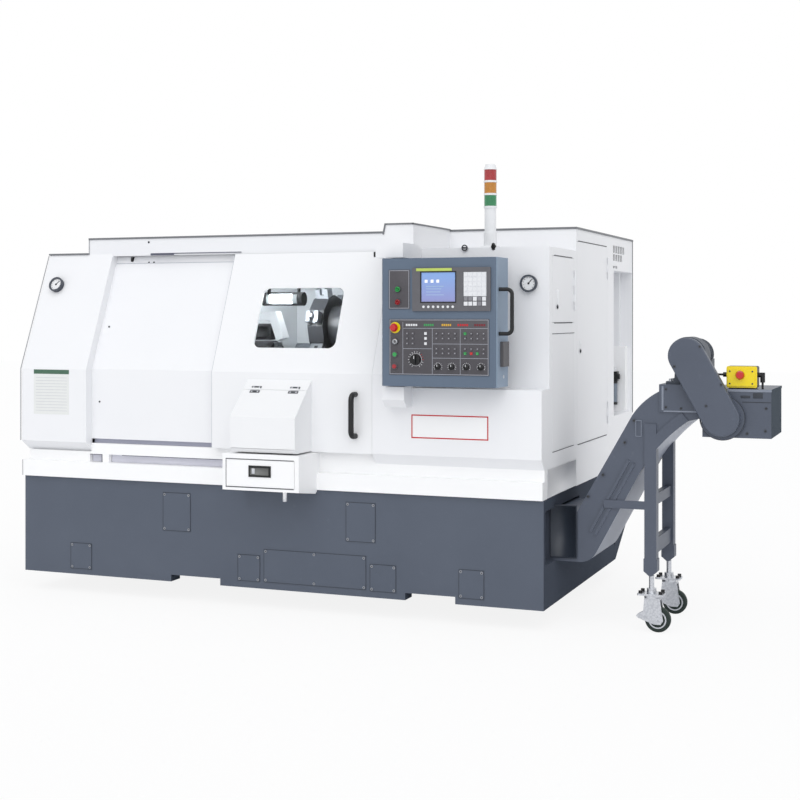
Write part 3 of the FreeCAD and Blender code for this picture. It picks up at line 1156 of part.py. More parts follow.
def make_parts_drawer():
    wall = 3.0
    left, right = DRAWER_LEFT, DRAWER_RIGHT
    front = block(left, right, BOX_FRONT, BOX_FRONT + SHEET, DRAWER_BOTTOM, DRAWER_TOP)
    tray_outer = block(left + 4, right - 4, BOX_FRONT + SHEET, SILL_LOWER_FRONT - SHEET - 2,
                       DRAWER_BOTTOM, DRAWER_TOP - 40)
    tray_inner = block(left + 4 + wall, right - 4 - wall, BOX_FRONT + SHEET,
                       SILL_LOWER_FRONT - SHEET - 2 - wall, DRAWER_BOTTOM + wall, DRAWER_TOP)
    x0, x1, z0, z1 = LATCH
    frame = rounded_block(x0, x1, BOX_FRONT - 3, BOX_FRONT, z0, z1, 8.0, V(0, 1, 0))
    frame = frame.cut(block(x0 + 12, x1 - 12, BOX_FRONT - 4, BOX_FRONT - 1, z0 + 10, z1 - 14))
    return join(front, tray_outer.cut(tray_inner), frame)


# ---- gauges and signal tower ------------------------------------------------
def gauge():
    """A round gauge on the face y = 0, looking to -Y."""
    points = [(0, 0), (GAUGE_RADIUS, 0), (GAUGE_RADIUS, -GAUGE_DEPTH),
              (GAUGE_DIAL_RADIUS, -GAUGE_DEPTH), (GAUGE_DIAL_RADIUS, -GAUGE_DEPTH + 7),
              (0, -GAUGE_DEPTH + 7)]
    corners = [V(r, y, 0) for r, y in points]
    body = Part.Face(Part.makePolygon(corners + corners[:1])).revolve(V(0, 0, 0), V(0, 1, 0), 360)
    needle = block(-2, 2, -GAUGE_DEPTH + 5, -GAUGE_DEPTH + 7, -6, GAUGE_DIAL_RADIUS - 8)
    needle.rotate(V(0, 0, 0), V(0, 1, 0), 40)
    return join(body, needle)


def make_pressure_gauges():
    left = on_lean(gauge(), LEFT_GAUGE_X, LEFT_GAUGE_Z, FRONT_Y)
    right = gauge()
    right.translate(V(RIGHT_GAUGE_X, UPPER_FRONT_Y, RIGHT_GAUGE_Z))
    return group([left, right])


def lens_bottom(index):
    return TOWER_LENS_START + TOWER_RING_HEIGHT + index * (TOWER_LENS_HEIGHT + TOWER_RING_HEIGHT)


def make_signal_tower():
    half = TOWER_BRACKET / 2
    x, y = TOWER_X, TOWER_Y
    foot = block(x - half, x + half, y - half, y + half, HOUSING_TOP, HOUSING_TOP + 8)
    socket = rod_z(HOUSING_TOP + 8, TOWER_BRACKET_TOP, x, y,
                   TOWER_POLE_RADIUS + TOWER_SOCKET_WALL)
    pole = rod_z(TOWER_BRACKET_TOP, TOWER_LENS_START, x, y, TOWER_POLE_RADIUS)
    cap_bottom = lens_bottom(3) - TOWER_RING_HEIGHT
    core = rod_z(TOWER_LENS_START, cap_bottom, x, y, TOWER_CORE_RADIUS)
    rings = [rod_z(lens_bottom(k) - TOWER_RING_HEIGHT, lens_bottom(k), x, y,
                   TOWER_LENS_RADIUS + 2) for k in range(3)]
    cap = Part.makeCone(TOWER_LENS_RADIUS + 2, TOWER_LENS_RADIUS - 6, TOWER_CAP_HEIGHT,
                        V(x, y, cap_bottom))
    return join(foot, socket, pole, core, cap, *rings)


def make_tower_lens(index):
    bottom = lens_bottom(index)
    lens = rod_z(bottom, bottom + TOWER_LENS_HEIGHT, TOWER_X, TOWER_Y, TOWER_LENS_RADIUS)
    return lens.cut(rod_z(bottom - 1, bottom + TOWER_LENS_HEIGHT + 1, TOWER_X, TOWER_Y,
                          TOWER_CORE_RADIUS))


# ---- control ----------------------------------------------------------------
def make_control_box():
    box = rounded_block(CONTROL_LEFT, CONTROL_RIGHT, CONTROL_FRONT, CONTROL_BACK,
                        CONTROL_BOTTOM, CONTROL_TOP, CONTROL_CORNER, V(0, 0, 1))
    wall = CONTROL_WALL
    box = box.cut(block(CONTROL_LEFT + wall, CONTROL_RIGHT - wall, CONTROL_FRONT + wall,
                        CONTROL_BACK - wall, CONTROL_BOTTOM + wall, CONTROL_TOP - wall))
    boss = PIVOT_RADIUS + 11
    bosses = [rod_z(CONTROL_TOP - PIVOT_DEPTH - 8, CONTROL_TOP - wall / 2, PIVOT_X, PIVOT_Y, boss),
              rod_z(CONTROL_BOTTOM + wall / 2, CONTROL_BOTTOM + PIVOT_DEPTH + 8, PIVOT_X,
                    PIVOT_Y, boss)]
    play = PIVOT_RADIUS + RUNNING_PLAY
    bores = [rod_z(CONTROL_TOP - PIVOT_DEPTH - 2, CONTROL_TOP + 1, PIVOT_X, PIVOT_Y, play),
             rod_z(CONTROL_BOTTOM - 1, CONTROL_BOTTOM + PIVOT_DEPTH + 2, PIVOT_X, PIVOT_Y, play)]
    y0, y1, z0, z1 = PORT_COVER
    port = rounded_block(CONTROL_RIGHT, CONTROL_RIGHT + PORT_PROUD, y0, y1, z0, z1, 5.0,
                         V(1, 0, 0))
    return join(join(box, *bosses).cut(bores), port)


def face_plate(area, thickness=PLATE, radius=4.0):
    x0, x1, z0, z1 = area
    return rounded_block(x0, x1, CONTROL_FRONT - thickness, CONTROL_FRONT, z0, z1, radius,
                         V(0, 1, 0))


def make_display_unit():
    thickness = PLATE + 4
    face = CONTROL_FRONT - thickness
    plate = face_plate(DISPLAY, thickness)
    x0, x1, z0, z1 = SCREEN
    plate = plate.cut(block(x0, x1, face - 1, face + 3, z0, z1))
    x0, x1, z0, z1 = KEYPAD
    plate = plate.cut(block(x0, x1, face - 1, face + 1.5, z0, z1))
    pitch_x = (x1 - x0) / KEYPAD_COLUMNS
    pitch_z = (z1 - z0) / KEYPAD_ROWS
    keys = []
    for i in range(KEYPAD_COLUMNS):
        for j in range(KEYPAD_ROWS):
            x, z = x0 + i * pitch_x, z0 + j * pitch_z
            keys.append(block(x + 2, x + pitch_x - 2, face - 1.5, face + 1.5,
                              z + 2, z + pitch_z - 2))
    x0, x1 = SCREEN[0], SCREEN[1]
    soft = [rod_y(face - 2, face, x0 + (k + 0.5) * (x1 - x0) / SOFT_KEYS, SOFT_KEY_Z, 6.0)
            for k in range(SOFT_KEYS)]
    return join(plate, *(keys + soft))


def button_ring(x, z, bore, radius, height, face):
    ring = rod_y(face - height, face, x, z, radius)
    return ring.cut(rod_y(face - height - 1, face + 1, x, z, bore))


def make_operator_panel():
    face = CONTROL_FRONT - PLATE
    plate = face_plate(OPERATOR)
    holes = []
    pieces = []
    stem_bore = ESTOP_STEM_RADIUS + RUNNING_PLAY
    button_bore = BUTTON_RADIUS + RUNNING_PLAY
    for (x, z), bore, radius, height in (
            (ESTOP, stem_bore, ESTOP_RING_RADIUS, ESTOP_RING),
            (START_BUTTON, button_bore, BUTTON_RING_RADIUS, 5.0),
            (HOLD_BUTTON, button_bore, BUTTON_RING_RADIUS, 5.0)):
        holes.append(rod_y(face - 1, CONTROL_FRONT + 1, x, z, bore))
        pieces.append(button_ring(x, z, bore, radius, height, face))
    holes.append(rod_y(face - 1, CONTROL_FRONT + 1, MODE_KNOB[0], MODE_KNOB[1],
                       MODE_SHAFT + RUNNING_PLAY))
    for (left, top, pitch), (columns, rows) in zip(KEY_BLOCKS, KEY_COUNTS):
        for i in range(columns):
            for j in range(rows):
                x, z = left + i * pitch, top - j * KEY_ROW_PITCH
                pieces.append(block(x - KEY_SIZE / 2, x + KEY_SIZE / 2, face - KEY_HEIGHT, face,
                                    z - KEY_SIZE / 2, z + KEY_SIZE / 2))
    for x in OVERRIDE_KNOBS:
        pieces.append(rod_y(face - OVERRIDE_HEIGHT, face, x, OVERRIDE_Z, OVERRIDE_RADIUS))
    pieces.append(rod_y(face - 12, face, KEY_SWITCH[0], KEY_SWITCH[1], 10.0))
    panel = join(plate.cut(holes), *pieces)
    side = face_plate(SWITCH_PLATE)
    side = join(side, *[rod_y(face - 10, face, x, z, 11.0) for x, z in POWER_BUTTONS])
    return group([panel, side])


def mushroom(x, z, stem_start, stem_end, stem_radius, head_radius, height):
    """A push button along Y: its stem starts inside the panel."""
    stem = rod_y(stem_end, stem_start, x, z, stem_radius)
    head = Part.makeCone(head_radius, head_radius * 0.72, height, V(x, stem_end, z), V(0, -1, 0))
    return join(stem, head)


def make_estop_button():
    face = CONTROL_FRONT - PLATE
    head = 14.0
    return mushroom(ESTOP[0], ESTOP[1], face - RUN_GAP + 4 - ESTOP_TRAVEL,
                    face - ESTOP_HEIGHT + head, ESTOP_STEM_RADIUS, ESTOP_HEAD_RADIUS, head)


def make_push_button(x, z):
    face = CONTROL_FRONT - PLATE
    return rod_y(face - 10, face + PLATE - BUTTON_TRAVEL - RUN_GAP, x, z, BUTTON_RADIUS)


def make_mode_knob():
    face = CONTROL_FRONT - PLATE
    x, z = MODE_KNOB
    skirt = rod_y(face - MODE_HEIGHT, face - RUN_GAP, x, z, MODE_RADIUS)
    grip = block(x - 4, x + 4, face - MODE_HEIGHT - 8, face - MODE_HEIGHT, z - MODE_RADIUS + 3,
                 z + MODE_RADIUS - 3)
    shaft = rod_y(face - RUN_GAP, CONTROL_FRONT - RUN_GAP, x, z, MODE_SHAFT)
    return join(skirt, grip, shaft)


def make_control_handle():
    rise = GRIP_RADIUS
    return bow(V(CONTROL_RIGHT, GRIP_Y, GRIP_BOTTOM + rise), V(GRIP_REACH, 0, 0),
               V(CONTROL_RIGHT, GRIP_Y, GRIP_TOP - rise), GRIP_RADIUS, GRIP_BEND)


# ---- chip conveyor ----------------------------------------------------------
def conveyor_wire():
    """The casing's side outline, from the trough's bottom to the head and back."""
    slope = V(INCLINE_LOWER.x - TROUGH_BEND, 0, INCLINE_LOWER.z - TANK_FLOOR_TOP).normalize()
    angle = math.atan2(slope.z, slope.x)
    reach = TROUGH_BEND_RADIUS * math.tan(angle / 2)
    bend = V(TROUGH_BEND, 0, TANK_FLOOR_TOP)
    bend_start = bend - V(reach, 0, 0)
    bend_end = bend + slope * reach
    centre = bend_start + V(0, 0, TROUGH_BEND_RADIUS)
    bend_middle = centre + V(math.sin(angle / 2), 0, -math.cos(angle / 2)) * TROUGH_BEND_RADIUS
    start = V(TROUGH_LEFT, 0, TANK_FLOOR_TOP)
    head_low = V(HEAD_RIGHT, 0, HEAD_BOTTOM)
    head_high = V(HEAD_RIGHT, 0, HEAD_TOP)
    head_left = V(HEAD_LEFT, 0, HEAD_TOP)
    trough_corner = V(TROUGH_RIGHT, 0, TROUGH_TOP)
    trough_end = V(TROUGH_LEFT, 0, TROUGH_TOP)
    edges = [
        Part.LineSegment(start, bend_start).toShape(),
        Part.Arc(bend_start, bend_middle, bend_end).toShape(),
        Part.LineSegment(bend_end, INCLINE_LOWER).toShape(),
        Part.Arc(INCLINE_LOWER, ARCH_MIDDLE, ARCH_END).toShape(),
        Part.LineSegment(ARCH_END, head_low).toShape(),
        Part.LineSegment(head_low, head_high).toShape(),
        Part.LineSegment(head_high, head_left).toShape(),
        Part.Arc(head_left, OUTER_MIDDLE, INCLINE_UPPER).toShape(),
        Part.LineSegment(INCLINE_UPPER, trough_corner).toShape(),
        Part.LineSegment(trough_corner, trough_end).toShape(),
        Part.LineSegment(trough_end, start).toShape(),
    ]
    return Part.Wire(edges)


def conveyor_prism(wire, y0, y1):
    face = Part.Face(wire)
    face.translate(V(0, y0, 0))
    return face.extrude(V(0, y1 - y0, 0))


def shrunk(wire, distance):
    return Part.Wire(wire.makeOffset2D(-distance, 1).Edges)


def make_conveyor_casing():
    wire = conveyor_wire()
    wall = CONVEYOR_WALL
    casing = conveyor_prism(wire, CONVEYOR_FRONT, CONVEYOR_BACK)
    hollow = conveyor_prism(shrunk(wire, wall), CONVEYOR_FRONT + wall, CONVEYOR_BACK - wall)
    top = block(TROUGH_LEFT + wall, CHAMBER_RIGHT, CONVEYOR_FRONT + wall, CONVEYOR_BACK - wall,
                TROUGH_TOP - wall - 1, TROUGH_TOP + 1)
    mouth = block(HEAD_RIGHT - wall - 1, HEAD_RIGHT + 1, CONVEYOR_FRONT + wall,
                  DISCHARGE_BACK - wall, HEAD_BOTTOM + wall, DISCHARGE_TOP - wall)
    corner = block(HEAD_BOX_LEFT, HEAD_LEFT, CONVEYOR_FRONT, CONVEYOR_BACK,
                   (HEAD_BOX_BOTTOM + HEAD_TOP) / 2, HEAD_TOP)
    corner_hollow = block(HEAD_BOX_LEFT + wall, HEAD_LEFT + wall, CONVEYOR_FRONT + wall,
                          CONVEYOR_BACK - wall, (HEAD_BOX_BOTTOM + HEAD_TOP) / 2, HEAD_TOP - wall)
    plates = [block(HEAD_BOX_LEFT, HEAD_RIGHT, y, y + HEAD_PLATE, HEAD_BOX_BOTTOM, HEAD_TOP)
              for y in (CONVEYOR_FRONT - HEAD_PLATE, CONVEYOR_BACK)]
    casing = join(casing, corner, *plates).cut([hollow, corner_hollow, top, mouth])
    ribs = []
    direction = V(INCLINE_LOWER.x - TROUGH_BEND, 0, INCLINE_LOWER.z - TANK_FLOOR_TOP).normalize()
    normal = V(-direction.z, 0, direction.x)
    for side in (CONVEYOR_FRONT - CASING_RIB, CONVEYOR_BACK):
        for off in (38.0, 66.0):
            start = V(TROUGH_BEND, side, TANK_FLOOR_TOP) + direction * 130 + normal * off
            corners = [start, start + direction * 390, start + direction * 390 + normal * 12,
                       start + normal * 12]
            rib = Part.Face(Part.makePolygon(corners + corners[:1])).extrude(V(0, CASING_RIB, 0))
            ribs.append(rib.cut(strap_block(2.0)))
    return join(casing, *ribs)


def strap_block(play=0.0):
    """The strap from the legs to the casing's front side."""
    left, low, high = STRAP
    return block(left - play, LEG_X + LEG_SIZE / 2, CONVEYOR_FRONT - STRAP_THICKNESS - play,
                 CONVEYOR_FRONT, low - play, high + play)


def make_conveyor_belt():
    wire = conveyor_wire()
    y0 = CONVEYOR_FRONT + BELT_SIDE_GAP
    y1 = CONVEYOR_BACK - BELT_SIDE_GAP
    outer = conveyor_prism(shrunk(wire, BELT_INSET), y0, y1)
    inner = conveyor_prism(shrunk(wire, BELT_INSET + BELT_THICKNESS), y0 - 1, y1 + 1)
    belt = outer.cut(inner)
    run_top = TROUGH_TOP - BELT_INSET
    cleats = []
    x = TROUGH_LEFT + 120
    while x < CHAMBER_RIGHT:
        cleats.append(prism_y([(x, run_top), (x + 26, run_top), (x + 16, run_top + CLEAT_HEIGHT),
                               (x + 10, run_top + CLEAT_HEIGHT)], y0, y1))
        x += CLEAT_PITCH
    return join(belt, *cleats)


def make_discharge_head():
    wall = CONVEYOR_WALL
    left, right = HEAD_RIGHT, DISCHARGE_RIGHT
    outer = block(left, right, CONVEYOR_FRONT, DISCHARGE_BACK, DISCHARGE_BOTTOM, DISCHARGE_TOP)
    inner = block(left + wall, right - wall, CONVEYOR_FRONT + wall, DISCHARGE_BACK - wall,
                  DISCHARGE_BOTTOM - 1, DISCHARGE_TOP - wall)
    window = block(left - 1, left + wall + 1, CONVEYOR_FRONT + wall, DISCHARGE_BACK - wall,
                   HEAD_BOTTOM + wall, DISCHARGE_TOP - wall)
    lid = block(left, right + LID_LAP, CONVEYOR_FRONT - LID_LAP, DISCHARGE_BACK + LID_LAP,
                DISCHARGE_TOP - 12, DISCHARGE_TOP)
    lid = lid.cut(block(left - 1, right, CONVEYOR_FRONT, DISCHARGE_BACK, DISCHARGE_TOP - 13,
                        DISCHARGE_TOP - 0.5))
    bearing = rod_y(BEARING_FRONT, CONVEYOR_FRONT, SHAFT_X, SHAFT_Z, BEARING_RADIUS)
    bearing = bearing.common(block(left, right, BEARING_FRONT - 1, CONVEYOR_FRONT + 1,
                                   DISCHARGE_BOTTOM - 200, DISCHARGE_TOP))
    return join(outer.cut([inner, window]), lid, bearing)


def make_chain_guard():
    y0, y1 = GUARD_FRONT, BEARING_FRONT
    low, high = V(SHAFT_X, y0, SHAFT_Z), V(MOTOR_X, y0, MOTOR_Z)
    along = (high - low).normalize()
    side = V(along.z, 0, -along.x) * GUARD_RADIUS
    path = Part.Wire([
        Part.LineSegment(low + side, high + side).toShape(),
        Part.Arc(high + side, high + along * GUARD_RADIUS, high - side).toShape(),
        Part.LineSegment(high - side, low - side).toShape(),
        Part.Arc(low - side, low - along * GUARD_RADIUS, low + side).toShape(),
    ])
    guard = Part.Face(path).extrude(V(0, y1 - y0, 0))
    edges = [e for e in guard.Edges if all(abs(v.Y - y0) < 0.1 for v in e.Vertexes)]
    return guard.makeFillet(6.0, edges)


def make_gear_motor():
    y0 = BEARING_FRONT
    gearbox = rod_y(y0, y0 + GEARBOX_LENGTH, MOTOR_X, MOTOR_Z, GEARBOX_RADIUS)
    end = y0 + GEARBOX_LENGTH
    motor = rod_y(end, end + GEAR_MOTOR_LENGTH, MOTOR_X, MOTOR_Z, GEAR_MOTOR_RADIUS)
    fins = [rod_y(end + 22 + k * 26, end + 30 + k * 26, MOTOR_X, MOTOR_Z, GEAR_MOTOR_RADIUS + 8)
            for k in range(6)]
    left, right = MOTOR_FEET
    foot_top = HEAD_TOP + MOTOR_FOOT_THICKNESS
    foot = prism_y([(left, HEAD_TOP), (right, HEAD_TOP), (right, foot_top),
                    (MOTOR_X + 40, foot_top), (MOTOR_X + 24, MOTOR_Z - 60),
                    (MOTOR_X - 62, MOTOR_Z - 50),
                    (left + 38, foot_top), (left, foot_top)], CONVEYOR_FRONT + 8, end)
    terminal = block(TERMINAL_X[0], TERMINAL_X[1], end + TERMINAL_Y[0], end + TERMINAL_Y[1],
                     MOTOR_Z - TERMINAL_DROP[0], MOTOR_Z - TERMINAL_DROP[1])
    return join(gearbox, motor, foot, terminal, *fins)


def make_stop_box():
    x0, x1, y0, y1 = STOP_BOX
    z0 = DISCHARGE_TOP + STOP_PLATE
    lid_back = y0 + STOP_LID_THICKNESS
    box = rounded_block(x0, x1, lid_back, y1, z0, STOP_BOX_TOP, 8.0, V(0, 1, 0))
    left, right, bottom, top = STOP_LID
    lid = rounded_block(left, right, y0, lid_back, bottom, top, 4.0, V(0, 1, 0))
    plate = block(x0 + 8, x1 - 8, y0 + 20, y1, DISCHARGE_TOP, z0)
    x, z = STOP_BUTTON
    play = STOP_STEM_RADIUS + RUNNING_PLAY
    ring = button_ring(x, z, play, STOP_RING_RADIUS, 5.0, y0)
    bore = rod_y(y0 - 1, y0 + 8, x, z, play)
    y = stop_box_middle()
    glands = [rod_x(x0 - GLAND_LENGTH, x0, y, GLAND_Z, GLAND_RADIUS),
              rod_x(x1, x1 + GLAND_LENGTH, y, GLAND_Z, GLAND_RADIUS),
              rod_z(ELBOW_BOTTOM, GLAND_Z + GLAND_RADIUS, x1 + GLAND_LENGTH, y, GLAND_RADIUS)]
    return join(join(box, lid, plate).cut(bore), ring, *glands)


def stop_box_middle():
    return (STOP_BOX[2] + STOP_BOX[3]) / 2


def make_conveyor_stop_button():
    x, z = STOP_BUTTON
    front = STOP_BOX[2]
    return mushroom(x, z, front + 1.0, front - 14.0, STOP_STEM_RADIUS, STOP_HEAD_RADIUS, 12.0)


def make_conveyor_cables():
    y = stop_box_middle()
    terminal_x = (TERMINAL_X[0] + TERMINAL_X[1]) / 2
    terminal_y = BEARING_FRONT + GEARBOX_LENGTH + TERMINAL_Y[0]
    motor_cable = [V(STOP_BOX[0] - GLAND_LENGTH, y, GLAND_Z), V(terminal_x, y, GLAND_Z),
                   V(terminal_x, terminal_y, GLAND_Z)]
    supply_x = STOP_BOX[1] + GLAND_LENGTH
    supply_cable = [V(supply_x, y, ELBOW_BOTTOM), V(supply_x, y, DISCHARGE_TOP)]
    return group([cable(motor_cable, CABLE_RADIUS), cable(supply_cable, CABLE_RADIUS)])


def leg_ys():
    front, back = CONVEYOR_FRONT - SIDE_PLATE, CONVEYOR_BACK + SIDE_PLATE
    return ((front, front + LEG_SIZE), (back - LEG_SIZE, back))


def bend_strip():
    """The outline of a strip of even width along the underside of the bend."""
    run = V(INCLINE_LOWER.x - TROUGH_BEND, 0, INCLINE_LOWER.z - TANK_FLOOR_TOP).normalize()
    chord = (ARCH_END - INCLINE_LOWER).normalize()
    level = V(ARCH_END - ARCH_MIDDLE).normalize()
    inner = [point + V(-way.z, 0, way.x) * BEND_STRIP for point, way in
             ((INCLINE_LOWER, run), (ARCH_MIDDLE, chord), (ARCH_END, level))]
    return Part.Wire([
        Part.Arc(INCLINE_LOWER, ARCH_MIDDLE, ARCH_END).toShape(),
        Part.LineSegment(ARCH_END, inner[2]).toShape(),
        Part.Arc(inner[2], inner[1], inner[0]).toShape(),
        Part.LineSegment(inner[0], INCLINE_LOWER).toShape(),
    ])


def make_conveyor_legs():
    half = LEG_SIZE / 2
    x0, x1 = LEG_X - half, LEG_X + half
    casing = conveyor_prism(conveyor_wire(), CONVEYOR_FRONT, CONVEYOR_BACK)
    strip = Part.Face(bend_strip())
    pieces = []
    lap, chamfer = LEG_FOOT_LAP, LEG_FOOT_CHAMFER
    foot_top = LEG_BOTTOM + LEG_FOOT_HEIGHT
    for y0, y1 in leg_ys():
        tube = block(x0, x1, y0, y1, foot_top, LEG_TOP)
        foot = prism_y([(x0 + chamfer, LEG_BOTTOM), (x1 - chamfer, LEG_BOTTOM),
                        (x1 + lap, LEG_BOTTOM + chamfer), (x1 + lap, foot_top),
                        (x0 - lap, foot_top), (x0 - lap, LEG_BOTTOM + chamfer)], y0, y1)
        pieces += [tube.cut(casing), foot]
    for low, high in (LEG_UPPER_BAR, LEG_LOWER_BAR):
        pieces.append(block(x0 + 12, x1 - 12, leg_ys()[0][1] - 1, leg_ys()[1][0] + 1, low, high))
    free = block(x0, HEAD_RIGHT, CONVEYOR_FRONT - 50, CONVEYOR_BACK + 50, LEG_BOTTOM,
                 HEAD_BOX_BOTTOM)
    for y in (CONVEYOR_FRONT - SIDE_PLATE, CONVEYOR_BACK):
        face = strip.copy()
        face.translate(V(0, y, 0))
        pieces.append(face.extrude(V(0, SIDE_PLATE, 0)).common(free))
    return join(strap_block(), *pieces)


def caster_ys():
    return tuple((y0 + y1) / 2 for y0, y1 in leg_ys())


def make_caster_plates():
    sets = []
    for y in caster_ys():
        top = CASTER_PLATE_Z + CASTER_PLATE_THICKNESS
        half_x, half_y = CASTER_PLATE_X / 2, CASTER_PLATE_Y / 2
        plate = rounded_block(CASTER_X - half_x, CASTER_X + half_x, y - half_y, y + half_y,
                              CASTER_PLATE_Z, top, 8.0, V(0, 0, 1))
        stem = rod_z(top, LEG_BOTTOM, CASTER_X, y, CASTER_STEM_RADIUS)
        nut = rod_z(top, top + 22, CASTER_X, y, CASTER_STEM_RADIUS + 10)
        bolts = [rod_z(top, top + 12, CASTER_X + sx * (half_x - 14), y + sy * (half_y - 14), 9.0)
                 for sx in (-1, 1) for sy in (-1, 1)]
        sets.append(join(plate, stem, nut, *bolts))
    return group(sets)


def wheel_centre(y):
    return V(CASTER_X + WHEEL_TRAIL, y, WHEEL_RADIUS - FEET_HEIGHT)


def make_caster_fork(y):
    centre = wheel_centre(y)
    top = CASTER_PLATE_Z - RUN_GAP
    inner = WHEEL_WIDTH / 2 + FORK_GAP
    outer = inner + FORK_THICKNESS
    head = rod_z(top - 14, top, CASTER_X, y, 34.0)
    crown = block(CASTER_X - 30, CASTER_X + 42, y - outer, y + outer, top - 22, top - 14)
    tip = CASTER_X - PEDAL_REACH
    cheek = [(CASTER_X - 30, top - 14), (CASTER_X + 42, top - 14), (centre.x + 28, centre.z - 4),
             (centre.x + 16, centre.z - 22), (centre.x - 16, centre.z - 22),
             (tip + 8, centre.z + 4), (tip, centre.z + 16), (CASTER_X - 36, centre.z + 34)]
    cheeks = [prism_y(cheek[::-1], start, start + FORK_THICKNESS)
              for start in (y - outer, y + inner)]
    axle = rod_y(y - outer - HUB_PROUD - 4, y + outer + HUB_PROUD + 4, centre.x, centre.z,
                 AXLE_RADIUS)
    hubs = [rod_y(start, start + HUB_PROUD, centre.x, centre.z, HUB_RADIUS)
            for start in (y - outer - HUB_PROUD, y + outer)]
    pedal = block(tip, tip + PEDAL_LENGTH, y - outer, y + outer, centre.z + 10, centre.z + 16)
    return join(head, crown, axle, pedal, *(cheeks + hubs))


def make_caster_wheel(y):
    centre = wheel_centre(y)
    half = WHEEL_WIDTH / 2
    rim = WHEEL_RADIUS
    points = [(AXLE_RADIUS + RUNNING_PLAY, -half - 2), (18, -half - 2), (18, -half),
              (rim - 6, -half), (rim, -half + 7), (rim, half - 7), (rim - 6, half), (18, half),
              (18, half + 2), (AXLE_RADIUS + RUNNING_PLAY, half + 2)]
    corners = [V(centre.x + r, centre.y + s, centre.z) for r, s in points]
    face = Part.Face(Part.makePolygon(corners + corners[:1]))
    return face.revolve(centre, V(0, 1, 0), 360)


# ---- all pieces -------------------------------------------------------------
def main():
    os.makedirs("parts", exist_ok=True)
    save("base_skirt", make_base_skirt())
    save("base_covers", make_base_covers())
    save("levelling_feet", make_levelling_feet())
    save("sill_rail", make_sill_rail())
    save("left_guard", make_left_guard())
    save("recess_panel", make_recess_panel())
    save("front_roof", make_front_roof())
    save("right_housing", make_right_housing())
    save("rear_cabinet", make_rear_cabinet())
    save("air_unit", make_air_unit())
    save("service_door", side_door(SERVICE_DOOR, SERVICE_LATCH))
    save("cabinet_door", side_door(CABINET_DOOR, CABINET_LATCH))
    save("chamber_walls", make_chamber_walls())
    save("machine_bed", bed_body())
    save("headstock", make_headstock())
    save("chuck_body", make_chuck_body())
    for number, angle in enumerate(jaw_angles(), 1):
        save("chuck_jaw_%d" % number, make_chuck_jaw(angle))
    save("saddle", make_saddle())
    save("cross_slide", make_cross_slide())
    save("turret_disc", make_turret_disc())
    save("tool_holders", make_tool_holders())
    save("tailstock_body", make_tailstock_body())
    save("tailstock_quill", make_tailstock_quill())
    save("work_lamp", make_work_lamp())
    save("sliding_door", make_sliding_door())
    save("door_window", make_door_window())
    save("door_handle", make_door_handle())
    save("catcher_hood", make_catcher_hood())
    save("catcher_flap", make_catcher_flap())
    save("parts_box", make_parts_box())
    save("parts_drawer", make_parts_drawer())
    save("pressure_gauges", make_pressure_gauges())
    save("signal_tower", make_signal_tower())
    for index, colour in enumerate(("green", "amber", "red")):
        save("tower_lens_" + colour, make_tower_lens(index))
    save("control_box", make_control_box())
    save("display_unit", make_display_unit())
    save("operator_panel", make_operator_panel())
    save("estop_button", make_estop_button())
    save("start_button", make_push_button(*START_BUTTON))
    save("hold_button", make_push_button(*HOLD_BUTTON))
    save("mode_knob", make_mode_knob())
    save("control_handle", make_control_handle())
    save("conveyor_casing", make_conveyor_casing())
    save("conveyor_belt", make_conveyor_belt())
    save("discharge_head", make_discharge_head())
    save("chain_guard", make_chain_guard())
    save("gear_motor", make_gear_motor())
    save("stop_box", make_stop_box())
    save("conveyor_stop_button", make_conveyor_stop_button())
    save("conveyor_cables", make_conveyor_cables())
    save("conveyor_legs", make_conveyor_legs())
    save("caster_plates", make_caster_plates())
    for number, y in enumerate(caster_ys(), 1):
        save("caster_fork_%d" % number, make_caster_fork(y))
        save("caster_wheel_%d" % number, make_caster_wheel(y))


main()
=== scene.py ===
import math

import bpy
from mathutils import Matrix, Vector


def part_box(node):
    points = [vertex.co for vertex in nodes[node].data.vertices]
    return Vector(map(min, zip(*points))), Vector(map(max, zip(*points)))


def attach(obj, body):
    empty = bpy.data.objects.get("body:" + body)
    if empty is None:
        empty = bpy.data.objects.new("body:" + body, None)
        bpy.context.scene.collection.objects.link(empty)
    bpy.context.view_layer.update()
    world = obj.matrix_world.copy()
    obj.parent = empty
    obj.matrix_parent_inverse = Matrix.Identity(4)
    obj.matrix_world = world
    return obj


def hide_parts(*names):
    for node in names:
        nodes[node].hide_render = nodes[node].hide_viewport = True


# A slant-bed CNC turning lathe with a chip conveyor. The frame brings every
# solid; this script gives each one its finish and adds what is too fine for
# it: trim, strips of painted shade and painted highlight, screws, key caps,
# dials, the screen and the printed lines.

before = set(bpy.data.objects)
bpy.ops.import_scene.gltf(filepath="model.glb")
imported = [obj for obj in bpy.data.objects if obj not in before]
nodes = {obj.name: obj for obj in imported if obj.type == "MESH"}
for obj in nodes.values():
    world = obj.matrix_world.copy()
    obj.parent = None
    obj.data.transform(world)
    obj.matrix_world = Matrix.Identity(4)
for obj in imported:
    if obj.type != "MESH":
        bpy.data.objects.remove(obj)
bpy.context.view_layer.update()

MM = 0.001
base_low, base_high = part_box("base_skirt")
CORNER = Vector((base_high.x, base_low.y, base_low.z))   # base's front right bottom corner


def at(x, y, z):
    """A place in millimetres from the base's front right bottom corner."""
    return CORNER + Vector((x, y, z)) * MM


def place_of(point):
    """A point's millimetres from the base's front right bottom corner."""
    return (point - CORNER) / MM


# ---- camera ----
CAMERA_PLACE = at(1762.0, -6298.0, 1380.0)
CAMERA_TURN = 21.5            # degrees to the left of straight ahead
CAMERA_LENS = 62.87
CAMERA_DROP = -0.10625        # frame shift that keeps the uprights parallel


